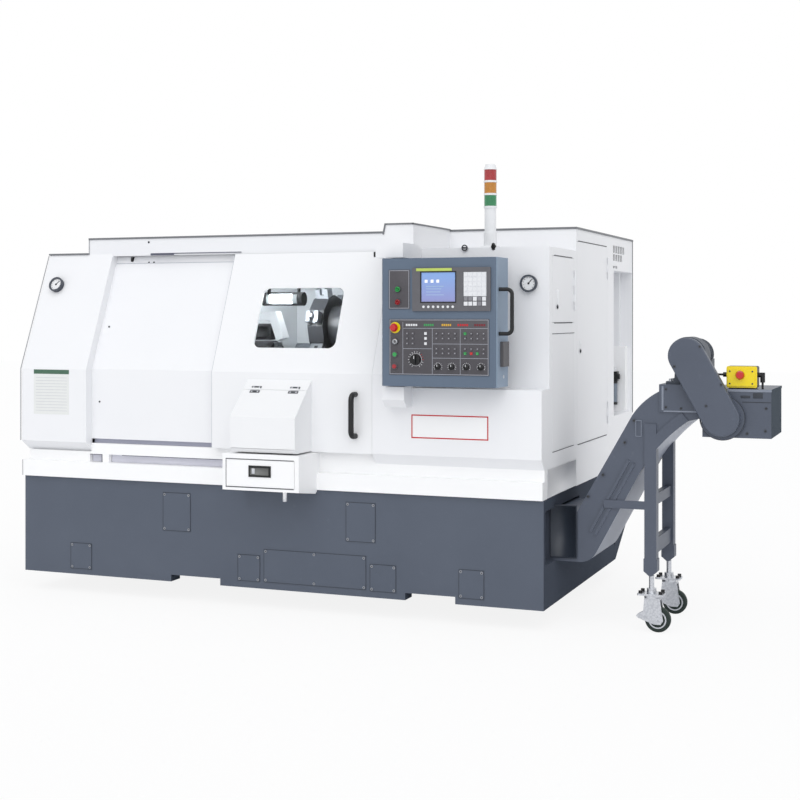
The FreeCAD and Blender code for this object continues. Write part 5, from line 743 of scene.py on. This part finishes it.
# a bare label sheet with a coloured head, and a bare badge with a red line
LABEL_LEFT, LABEL_RIGHT, LABEL_HEAD = -2819, -2596, 1065
label = paint(add_block("bare_label_sheet", (LABEL_LEFT, GUARD_FACE - 1, 850),
                        (LABEL_RIGHT, GUARD_FACE, 1088)), "paper", "deep_green")
edit()
take_all()
bpy.ops.mesh.bisect(plane_co=at(0, 0, LABEL_HEAD), plane_no=(0, 0, 1))
leave_edit()
paint_faces(label, 1, lambda place, normal: place.z > LABEL_HEAD)
fit(label)
ruled = [add_block("ruled_line", (LABEL_LEFT + 13, GUARD_FACE - 1.4, z),
                   (LABEL_RIGHT - 13, GUARD_FACE - 0.9, z + 2.5)) for z in range(868, 1060, 16)]
fit_set("label_ruled_lines", ruled, "faint_print")
badge = [paint(add_block("badge_sheet", (-649, GUARD_FACE - 1.2, 786), (-255, GUARD_FACE, 906),
                         0.5), "sill"),
         paint(add_frame("badge_line", -646, -258, 789, 903, GUARD_FACE - 1.6, 6.0),
               "print_red")]
fit_set("bare_badge_plate", badge)

# an eye for lifting the roof panel, and the signal tower's clamp knob
eye = add_block("eye_foot", (-434, 84, 1705), (-406, 100, 1709), 1.0)
deselect()
bpy.ops.mesh.primitive_torus_add(major_radius=0.013, minor_radius=0.003, major_segments=24,
                                 minor_segments=10, location=at(-420, 92, 1704),
                                 rotation=TURN_TO["y"])
fit_set("lifting_eye", [eye, settle("ring")], "screw")
knob = add_round("tower_clamp_knob", (-277, 104, 1708), 12.0, 16.0, "y", 12, 2.5)
fit(sink(knob, 4.0, -2.0), "black")

# ---- base covers: a dark frame of painted shade in the gap round each, and screws in the corners ----
COVERS = ((-2607, -2477, 30, 166), (-2040, -1878, 264, 460), (-1603, -1478, 34, 166),
          (-1455, -898, 36, 200), (-1004, -848, 268, 460), (-876, -740, 32, 163),
          (-417, -292, 32, 168))
COVER_FRONT = -2.0
joints = [add_frame("cover_joint", left - 1, right + 1, bottom - 1, top + 1,
                    COVER_FRONT - 0.4, 2.5) for left, right, bottom, top in COVERS]
fit_set("cover_joints", joints, "joint")
WIDE_COVER, SCREW_INSET = 300, 10     # a wide cover has screws in its middle too
spots = []
for left, right, bottom, top in COVERS:
    columns = [left + SCREW_INSET, right - SCREW_INSET]
    if right - left > WIDE_COVER:
        columns.insert(1, (left + right) / 2)
    spots += [(x, 0, z) for x in columns for z in (bottom + SCREW_INSET, top - SCREW_INSET)]
cover_screw = screw_head("cover_screw", (0, COVER_FRONT, 0), 7.0, 2.5, "dull_zinc")
fit_set("cover_screws", spread(cover_screw, spots))

# ---- catcher hinges, parts drawer and latch ----
SLOPE_TOP, SLOPE_FOLD = (GUARD_FACE, 1057.0), (-225.0, 881.0)
SLOPE_TURN = math.degrees(math.atan2(SLOPE_TOP[1] - SLOPE_FOLD[1], SLOPE_TOP[0] - SLOPE_FOLD[0]))
TURN_TO["slope"] = (math.radians(SLOPE_TURN), 0, 0)


def on_slope(along, proud):
    """y and z of a point that far down the catcher's slope, standing that proud."""
    turn = math.radians(SLOPE_TURN)
    return (SLOPE_TOP[0] - along * math.cos(turn) - proud * math.sin(turn),
            SLOPE_TOP[1] - along * math.sin(turn) + proud * math.cos(turn))


def add_leaf(name, left, right, start, end):
    """One leaf of a butt hinge on the slope, with its countersunk screws."""
    y, z = on_slope((start + end) / 2, 1.0)
    half, high = (end - start) / 2, 1.0
    leaf = add_block(name, (left, y - half, z - high), (right, y + half, z + high), 0.6,
                     turn=SLOPE_TURN)
    paint(leaf, "hinge", "zinc")
    y, z = on_slope((start + end) / 2, 2.3)
    screws = [paint(add_round("leaf_screw", (x, y, z), 4.5, 1.2, "slope", 12, 0.4), "zinc")
              for x in (left + 11, right - 11)]
    return make_one(name, [leaf] + screws)


for side, left in (("left", -1482), ("right", -1270)):
    fit(add_leaf(side + "_hinge_upper_leaf", left - 2, left + 52, 48, 62), body="door")
    fit(add_leaf(side + "_hinge_lower_leaf", left - 2, left + 52, 78, 93), body="flap")

DRAWER_LEFT, DRAWER_RIGHT, DRAWER_BOTTOM, DRAWER_TOP = -1550, -1180, 540, 675
# painted shade: dark strips in the gap round the drawer front
drawer_gap = [add_block(name, (DRAWER_LEFT, -226.6, low), (right, -225.5, high))
              for name, right, low, high in (
                  ("gap_left", DRAWER_LEFT + 2.5, DRAWER_BOTTOM, DRAWER_TOP),
                  ("gap_top", DRAWER_RIGHT, DRAWER_TOP - 0.5, DRAWER_TOP + 3),
                  ("gap_bottom", DRAWER_RIGHT, DRAWER_BOTTOM - 3.5, DRAWER_BOTTOM))]
fit_set("drawer_gap_shade", drawer_gap, "seal")
latch = paint(add_block("drawer_latch", (-1423, -230.5, 591), (-1301, -229, 647), 0.6),
              "black", "latch_grey")
sink(latch, 11, -0.8, finish=1)
bar = paint(add_block("latch_bar", (-1405, -231.5, 606), (-1388, -229.5, 633), 1.0), "zinc")
fit_set("drawer_latch", [latch, bar], body="drawer")

# ---- rings, marks and dials ----
def add_ring(name, centre, outer, inner, length, axis="y", sides=48):
    """A flat ring: a disc whose two faces are inset, opened and bridged."""
    ring = add_round(name, centre, outer, length, axis, sides)
    along = "xyz".index(axis)
    open_faces(ring, lambda place, normal: abs(normal[along]) > 0.9)
    bpy.ops.mesh.inset(thickness=(outer - inner) * MM)
    bpy.ops.mesh.delete(type="FACE")
    bpy.ops.mesh.select_mode(type="EDGE")
    bpy.ops.mesh.select_non_manifold()
    bpy.ops.mesh.bridge_edge_loops()
    leave_edit()
    smooth()
    return ring


def add_mark(name, x, z, radius, angle, size, front, finish):
    """A printed mark at that angle, clockwise from the top, round a dial's middle."""
    turn = math.radians(angle)
    wide, high = size
    deselect()
    bpy.ops.mesh.primitive_cube_add(
        size=1, location=at(x + radius * math.sin(turn), front, z + radius * math.cos(turn)),
        rotation=(0, turn, 0), scale=(wide * MM, 0.6 * MM, high * MM))
    return paint(settle(name), finish)


def tip_back(obj, y, z, degrees):
    """Tips a piece back about a level line through y and z, in its mesh."""
    select_only(obj)
    obj.matrix_world = (Matrix.Translation(at(0, y, z))
                        @ Matrix.Rotation(math.radians(-degrees), 4, "X")
                        @ Matrix.Translation(-at(0, y, z)))
    return settle(obj.name)


def add_dial(name, x, y, z, tipped):
    """A gauge's printed dial: a white disc, a ring of marks, a hub and a needle."""
    plate = paint(add_round(name, (x, y - 17.6, z), 32.6, 0.8, "y", 40), "dial")
    marks = [add_mark("dial_mark", x, z, 27.0, -135 + 30 * k, (1.8, 5.0), y - 18.1,
                      "dark_print") for k in range(10)]
    hub = paint(add_round("hub", (x, y - 19.5, z), 5.0, 3.0, "y", 20, 0.8), "dark_print")
    needle = add_mark("needle", x, z, 9.0, 40, (2.6, 26.0), y - 19.4, "dark_print")
    bezel = paint(add_ring("bezel", (x, y - 22.0, z), 41.5, 32.8, 6.0), "bezel")
    dial = make_one(name, [plate, hub, needle, bezel] + marks)
    return tip_back(dial, y, z, 22.5) if tipped else dial


# ---- control: operator panel, screen, keys and switches ----
PANEL_BACK, PANEL_FACE, DISPLAY_FACE = -200.0, -204.0, -208.0


def add_keycap(name, finish):
    """A key cap: its face is inset and dished a little."""
    cap = add_block(name, (-6.5, PANEL_FACE - 3.5, -6.5), (6.5, PANEL_FACE, 6.5), 1.2)
    paint(cap, finish, "key_print")
    return sink(cap, 1.6, -0.5)


def key_places(left, top, columns, rows, pitch_x, pitch_z):
    return [(left + i * pitch_x, 0, top - j * pitch_z)
            for j in range(rows) for i in range(columns)]


dark_places = (key_places(-456, 1294, 4, 2, 30.3, 23) + key_places(-456, 1223, 4, 2, 30.3, 20.5)
               + key_places(-286, 1294, 3, 1, 30, 23) + key_places(-316, 1271, 4, 1, 30, 23)
               + key_places(-316, 1223, 4, 1, 30, 20) + key_places(-227, 1202.5, 1, 1, 30, 20)
               + key_places(-602, 1294, 2, 3, 28, 23.5))
# where the pressed pieces stand, and the radius of the bore that each one runs in
STOP, START, HOLD, MODE = (-663, 1321), (-663, 1195), (-665, 1139), (-559, 1172)
stem_bores = [add_round("cutter", (x, PANEL_FACE, z), radius, 30.0)
              for (x, z), radius in ((STOP, 11.6), (START, 10.6), (HOLD, 10.6), (MODE, 4.6))]
operator_plate = add_block("operator_plate", (-693, PANEL_FACE, 1100), (-201, PANEL_BACK, 1361),
                           1.5)
switch_plate = add_block("switch_plate", (-696, PANEL_FACE, 1408), (-590, PANEL_BACK, 1592), 1.5)
panel_parts = [paint(bore(operator_plate, stem_bores), "foil"), paint(switch_plate, "foil")]


def on_panel(finish, *pieces):
    """Paints pieces of the panel and keeps them to be joined."""
    panel_parts.extend(paint(piece, finish) for piece in pieces)


def panel_ring(name, place, outer, inner, proud):
    return add_ring(name, (place[0], PANEL_FACE - proud / 2, place[1]), outer, inner, proud)


def lay_keys(finish, places):
    """A key cap of one colour at each place of the panel."""
    panel_parts.extend(spread(add_keycap("key_cap", finish), places))


lay_keys("key_dark", dark_places)
lay_keys("key_white", [(-510, 0, 1294), (-510, 0, 1271), (-510, 0, 1247)])
lay_keys("green", [(-316, 0, 1294), (-316, 0, 1202.5), (-257, 0, 1202.5)])
lay_keys("red", [(-286, 0, 1202.5)])
on_panel("yellow", panel_ring("stop_ring", STOP, 26, 11.1, 2.4))
on_panel("key_dark", panel_ring("start_ring", START, 14.5, 10.1, 5.0),
         panel_ring("hold_ring", HOLD, 14.5, 10.1, 5.0))
for z, finish in ((1500, "green"), (1440, "dark_red")):
    button = add_round("power_button", (-648, PANEL_FACE - 5, z), 11.0, 10.0, "y", 28, 1.5)
    on_panel(finish, sink(button, 2.0, -0.8))
    on_panel("key_dark", panel_ring("power_ring", (-648, z), 14.0, 11.1, 3.0))
switch = add_round("key_switch", (-660, PANEL_FACE - 6, 1256), 10.0, 12.0, "y", 28, 1.0)
on_panel("zinc", sink(switch, 2.5, -1.0))
on_panel("dark_print", add_block("key_slot", (-661.2, PANEL_FACE - 11.6, 1250),
                                 (-658.8, PANEL_FACE - 11, 1262)))
KNOB_Z = 1139
for x in (-449, -381, -310, -239):
    knob = add_round("override_knob", (x, PANEL_FACE - 7, KNOB_Z), 13.0, 14.0, "y", 24, 1.5)
    on_panel("black", sink(knob, 4.0, 2.0))
    on_panel("print_white", add_block("pointer", (x - 1.2, PANEL_FACE - 16.6, KNOB_Z + 2),
                                      (x + 1.2, PANEL_FACE - 15.8, KNOB_Z + 12)))
    panel_parts += [add_mark("override_mark", x, KNOB_Z, 19.0, -120 + 24 * k, (2.0, 4.5),
                             PANEL_FACE - 0.2, "print_white") for k in range(11)]

# printed lines that part the panel into fields, and the fields' heads
LINE = 1.8
lines = [(-625, 1105, -625 + LINE, 1346), (-478, 1105, -478 + LINE, 1318),
         (-341, 1105, -341 + LINE, 1318), (-625, 1317, -205, 1317 + LINE),
         (-478, 1245, -205, 1245 + LINE), (-625, 1222, -480, 1222 + LINE),
         (-478, 1179, -205, 1179 + LINE)]
on_panel("line_grey", *[add_block("printed_line", (x0, PANEL_FACE - 0.4, z0),
                                  (x1, PANEL_FACE, z1)) for x0, z0, x1, z1 in lines])
on_panel("line_grey", *[add_frame("printed_frame", *area, PANEL_FACE - 0.4, 2.2)
                        for area in ((-690, -204, 1103, 1358), (-693, -593, 1411, 1589))])
for start, end, finish in ((-609, -549, "print_white"), (-519, -468, "print_green"),
                           (-431, -382, "print_yellow"), (-353, -299, "print_red"),
                           (-272, -216, "print_maroon")):
    pitch = (end - start) / 5
    field = add_block("status_field", (start, PANEL_FACE - 0.6, 1328.5),
                      (start + pitch - 3, PANEL_FACE, 1338.5))
    panel_parts += add_copies(paint(field, finish), [(pitch * k, 0, 0) for k in range(1, 5)])
for angle in range(-150, 151, 20):
    ink = "print_red" if angle in (50, 70, 90) else "print_white"
    panel_parts.append(add_mark("mode_mark", *MODE, 36.0, angle, (2.2, 6.0), PANEL_FACE - 0.2,
                                ink))
on_panel("print_white", panel_ring("mode_ring", MODE, 30.0, 28.6, 0.6))
operator_panel = make_one("operator_panel_and_switch_plate", panel_parts)
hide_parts("operator_panel")
fit(operator_panel, body="control", slot="panel_dark")

# marks printed on each dark key
prints = [add_block("key_print", (x - 2.4, PANEL_FACE - 3.6, z - 1.2),
                    (x + 2.4, PANEL_FACE - 3.0, z + 2.4)) for x, _, z in dark_places]
fit_set("key_prints", prints, "key_print", body="control")

# mode knob: a grip across its face and a white pointer
grip = add_block("mode_knob_grip", (-565, PANEL_FACE - 27, 1152), (-553, PANEL_FACE - 17, 1192),
                 2.5)
pointer = paint(add_block("mode_pointer", (-560.4, PANEL_FACE - 27.8, 1176),
                          (-557.6, PANEL_FACE - 26.8, 1190)), "print_white")
fit_set("mode_knob_grip", [paint(grip, "black"), pointer], body="mode_selector")

# display: lit screen with three picture keys, soft keys and the keypad's fields
screen = paint(add_block("lit_screen", (-530.5, -206.0, 1441.5), (-363.5, -205.1, 1577.5)),
               "screen")
icons = add_copies(paint(add_block("picture_key", (-514, -206.4, 1530), (-500, -205.9, 1544)),
                         "screen_white"), [(29.5, 0, 0), (57.5, 0, 0)])
texts = [paint(add_block("screen_row", (-508, -206.3, z), (x, -205.9, z + 2.5)), "screen_row")
         for z, x in ((1512, -420), (1500, -432), (1486, -436), (1472, -420))]
fit_set("lit_screen", [screen] + icons + texts, body="control")
surround = paint(add_frame("screen_surround", -536, -358, 1436, 1583, DISPLAY_FACE - 0.8, 5.5,
                           1.2), "black")
bar = paint(add_block("coloured_bar", (-556, DISPLAY_FACE - 1.2, 1584),
                      (-380, DISPLAY_FACE, 1597), 0.5), "lime")
field = paint(add_block("keypad_field", (-322.5, -207.3, 1466), (-212.5, -206.6, 1577.5)),
              "key_white")
fit_set("display_trim", [surround, bar, field], body="control")


def is_key(place):
    return -323 < place.x < -212 and 1421 < place.z < 1578 and place.y < -206.6


WHITE_CELLS = {(0, 0), (1, 0), (2, 0), (4, 0), (2, 1), (4, 1)}


def is_white_key(place):
    """Whether the keypad's key under a place is one of the white ones."""
    column, row = int((place.x + 323) // 22.2), int((place.z - 1421) // 22.43)
    return is_key(place) and (row > 1 or (column, row) in WHITE_CELLS)


def is_soft_key(place):
    return place.y < -208.3 and abs(place.z - 1418) < 7


paint_node("display_unit", ("display", "key_white", "key_grey"),
           lambda place, normal: is_white_key(place)
           or is_soft_key(place) and not is_key(place),
           lambda place, normal: is_key(place) and not is_white_key(place))
# the control box's right side is painted paler, a painted sheen; the port cover is dark
paint_node("control_box", ("control", "control_side", "dark_cover"),
           lambda place, normal: normal.x > 0.7 and place.x > -200,
           lambda place, normal: place.x > -164.5)
port_screw = add_round("port_screw", (-164, -98, 1094), 8.5, 3.0, "x", 20, 0.8)
fit(port_screw, "zinc", body="control")

# ---- dials (the frame's gauges keep their cases) ----
LEFT_GAUGE_Z = 1541
LEFT_GAUGE = (-2797, GUARD_FACE + (LEFT_GAUGE_Z - BEND_Z) * LEAN, LEFT_GAUGE_Z)
RIGHT_GAUGE = (-97, 100, 1530)
fit(add_dial("left_gauge_dial", *LEFT_GAUGE, True), slot="gauge_steel")
fit(add_dial("right_gauge_dial", *RIGHT_GAUGE, False), slot="gauge_steel")

# ---- work lamp, service bay ----
LAMP_Y, LAMP_Z = 350.0, 1464.0
paint_node("work_lamp", ("tube_glass", "black"),
           lambda place, normal: not -1604 < place.x < -1426 or place.z > LAMP_Z + 34)
fit(add_round("lit_lamp_tube", (-1522, LAMP_Y, LAMP_Z), 33.0, 130, "x", 40, 1.0),
    "frosted")


def add_lamp_shell():
    """The lamp's black guard strips: a tube whose front and back are cut away."""
    shell = add_round("lamp_shell", (-1515, LAMP_Y, LAMP_Z), 36.0, 180, "x", 40)
    open_faces(shell, lambda place, normal: abs(normal.x) > 0.9 or abs(normal.y) > 0.72)
    bpy.ops.mesh.delete(type="FACE")
    leave_edit()
    modify(shell, "SOLIDIFY", thickness=2.0 * MM)
    smooth()
    return shell


fit(add_lamp_shell(), "black")

# what shows through the window: a folded white cover over the tool setter
fit(add_edging("setter_cover", [(-1722, 380, 1366), (-1598, 380, 1376), (-1554, 380, 1250)],
               (0, 70, 0), 46), "box")
setter = add_block("tool_setter", (-1712, 372, 1246), (-1604, 440, 1334), 10.0)
fit(sink(setter, 16.0, -6.0), "black")

paint_node("air_unit", ("filter", "box", "black", "key_white"),
           lambda place, normal: place.y > 1869,
           lambda place, normal: place.y < 1869 and 991 < place.z < 1047.5,
           lambda place, normal: place.z > 1047.5 and place.y < 1866)
bowl_caps = [add_round("bowl_cap", (-88, 1842, z), 22.8, 16, "z", 32, 2.0) for z in (860, 984)]
fit_set("bowl_caps", bowl_caps, "black")

# ---- conveyor ----
SIDE_FRONT = 186.0
# painted highlight: pale strips along the drive box's left and bottom edges
casing_edge_highlights = [
    add_block("drive_box_edge", (514, SIDE_FRONT - 1.2, 938), (523, SIDE_FRONT, 1050), 0.4),
    add_block("drive_box_ledge", (523, SIDE_FRONT - 1.2, 930), (699, SIDE_FRONT, 937), 0.4)]
fit_set("drive_box_edges", casing_edge_highlights, "worn_edge")
# painted shade: a dark sheet on the trough's side, inside the base's end opening
trough_plate = add_block("trough_shade_plate", (-20, SIDE_FRONT - 2.0, 222),
                         (112, SIDE_FRONT - 0.2, 476), 0.5)
fit(sink(trough_plate, 6.0, -0.5), "trough_shade")
# painted light: the casing's downward faces get the paler coat
paint_node("conveyor_casing", ("conveyor", "conveyor_under"),
           lambda place, normal: normal.z < -0.3)
bolts = []
for name, first, radius, shifts in (
        ("side_bolt", (534, SIDE_FRONT, 1036), 6.0,
         [(0, 0, -84), (70, 0, -88), (150, 0, -88), (150, 0, -6)]),
        ("incline_bolt", (341, SIDE_FRONT, 782), 7.0,
         [(44, 0, 104), (-104, 0, -156), (-176, 0, -262)]),
        ("head_bolt", (986, 194, 956), 6.5, [(-3, 0, -102), (-84, 0, -116)]),
        ("guard_bolt", (700, 125, 1236), 6.0, [(-116, 0, -92), (28, 0, -270), (96, 0, -172)])):
    bolts += add_copies(screw_head(name, first, radius, 3.0), shifts)
fit_set("conveyor_bolts", bolts)
HEAD_FRONT = 194
# painted shade: dark strips for the head's slots and fold, and a dark ring at the bearing's
# joint
openings = [add_block("head_slot", (928, HEAD_FRONT - 1.4, 1001), (972, HEAD_FRONT, 1026), 0.4),
            add_block("head_slot", (873, HEAD_FRONT - 1.4, 1001), (916, HEAD_FRONT, 1013), 0.4),
            add_block("head_fold", (880, HEAD_FRONT - 0.8, 981), (1008, HEAD_FRONT, 985)),
            add_ring("bearing_joint", (793, 173, 910), 103, 97, 5.0)]
fit_set("discharge_head_slots", openings, "joint")
# painted highlight along the inspection plate's outline
inspection = add_frame("inspection_plate_line", 392, 420, 812, 888, SIDE_FRONT - 0.6, 2.5)
fit(inspection, "worn_edge")
# the head's upper band is rubbed paint with a painted highlight; its right end faces get painted
# shade
paint_node("discharge_head", ("conveyor", "worn_edge", "head_end"),
           lambda place, normal: place.z > 1029 and abs(normal.z) < 0.5,
           lambda place, normal: normal.x > 0.6 and place.x > 900)

foot_bolts = []
for x, y in ((550, 220), (550, 280), (690, 220)):
    bolt = add_round("foot_bolt", (x, y, 1078), 9.0, 12.0, "z", 6, 0.8)
    washer = add_round("washer", (x, y, 1073), 12.0, 2.5, "z", 24, 0.4)
    foot_bolts += [paint(bolt, "zinc"), paint(washer, "zinc")]
fit_set("motor_foot_bolts", foot_bolts)

paint_node("stop_box", ("black", "yellow"), lambda place, normal: place.y < 204.2)
lid_screws = add_copies(screw_head("lid_screw", (824, 196, 1123), 4.0, 1.5),
                        [(101, 0, 0), (0, 0, -56), (101, 0, -56)])
fit_set("stop_box_screws", lid_screws)

# casters: blackened bolts, bright hubs, and the tread's two side rings
paint_node("caster_plates", ("zinc", "black"),
           lambda place, normal: place.z > 81.5 and abs(place.x - 462) > 28)
WHEEL_X, WHEEL_Z = 492, -40
for number, y in (("1", 214.0), ("2", 647.0)):
    paint_node("caster_wheel_" + number, ("tread", "zinc"), lambda place, normal:
               math.hypot(place.x - WHEEL_X, place.z - WHEEL_Z) < 24)
    hubs = [add_ring("hub_ring", (WHEEL_X, y + side * 17.6, WHEEL_Z), 42, 36, 1.4)
            for side in (-1, 1)]
    fit_set("wheel_" + number + "_hub_rings", hubs, "zinc", body="wheel_" + number)


# ---- floor, backdrop and light ----
def add_floor():
    """A plain pale studio floor that keeps a soft shadow."""
    deselect()
    bpy.ops.mesh.primitive_grid_add(x_subdivisions=4, y_subdivisions=4, size=60,
                                    location=(0, 0, 0))
    floor = bpy.context.object
    floor.name = "studio floor"
    material, tree, shader, place = start_material("pale matt floor", Roughness=0.9)
    shader.inputs["Base Color"].default_value = linear("FCFCFD")
    rays = add_node(tree, "LightPath")
    seen = add_node(tree, "Math", {1: 0.87}, {0: rays.outputs["Is Camera Ray"]},
                    operation="MULTIPLY")
    white = add_node(tree, "Emission", {"Color": (1, 1, 1, 1), "Strength": 1.0})
    mixed = add_node(tree, "MixShader", links={0: seen.outputs["Value"],
                                               1: shader.outputs["BSDF"],
                                               2: white.outputs["Emission"]})
    output = tree.nodes["Material Output"]
    tree.links.new(mixed.outputs["Shader"], output.inputs["Surface"])
    floor.data.materials.append(material)


def add_key_light(name, towards, spread, strength):
    """A broad far softbox: even over the whole machine, with soft-edged shadows."""
    bpy.ops.object.light_add(type="SUN", location=Vector(towards) * 10)
    lamp = bpy.context.object
    lamp.name = name
    lamp.data.angle = math.radians(spread)
    lamp.data.energy = strength
    lamp.rotation_euler = Vector(towards).to_track_quat("Z", "Y").to_euler()


def add_world(level):
    """Even light from all round; the camera, gloss and glass see plain white."""
    world = bpy.data.worlds.new("studio")
    bpy.context.scene.world = world
    world.use_nodes = True
    tree = world.node_tree
    tree.nodes.clear()
    rays = add_node(tree, "LightPath")
    either = add_node(tree, "Math", links={0: rays.outputs["Is Camera Ray"],
                                           1: rays.outputs["Is Glossy Ray"]},
                      operation="MAXIMUM")
    seen = add_node(tree, "Math", links={0: either.outputs["Value"],
                                         1: rays.outputs["Is Transmission Ray"]},
                    operation="MAXIMUM")
    soft = add_node(tree, "Background", {"Color": linear("F8F9FB"), "Strength": level})
    white = add_node(tree, "Background", {"Color": (1, 1, 1, 1), "Strength": 1.0})
    mixed = add_node(tree, "MixShader", links={0: seen.outputs["Value"],
                                               1: soft.outputs["Background"],
                                               2: white.outputs["Background"]})
    output = add_node(tree, "OutputWorld", links={"Surface": mixed.outputs["Shader"]})
    output.is_active_output = True


add_floor()
add_world(0.68)
add_key_light("broad overhead softbox", (0.20, -0.68, 0.70), 70.0, 1.22)


# ---- finish ----
bpy.context.scene.view_settings.view_transform = "Standard"
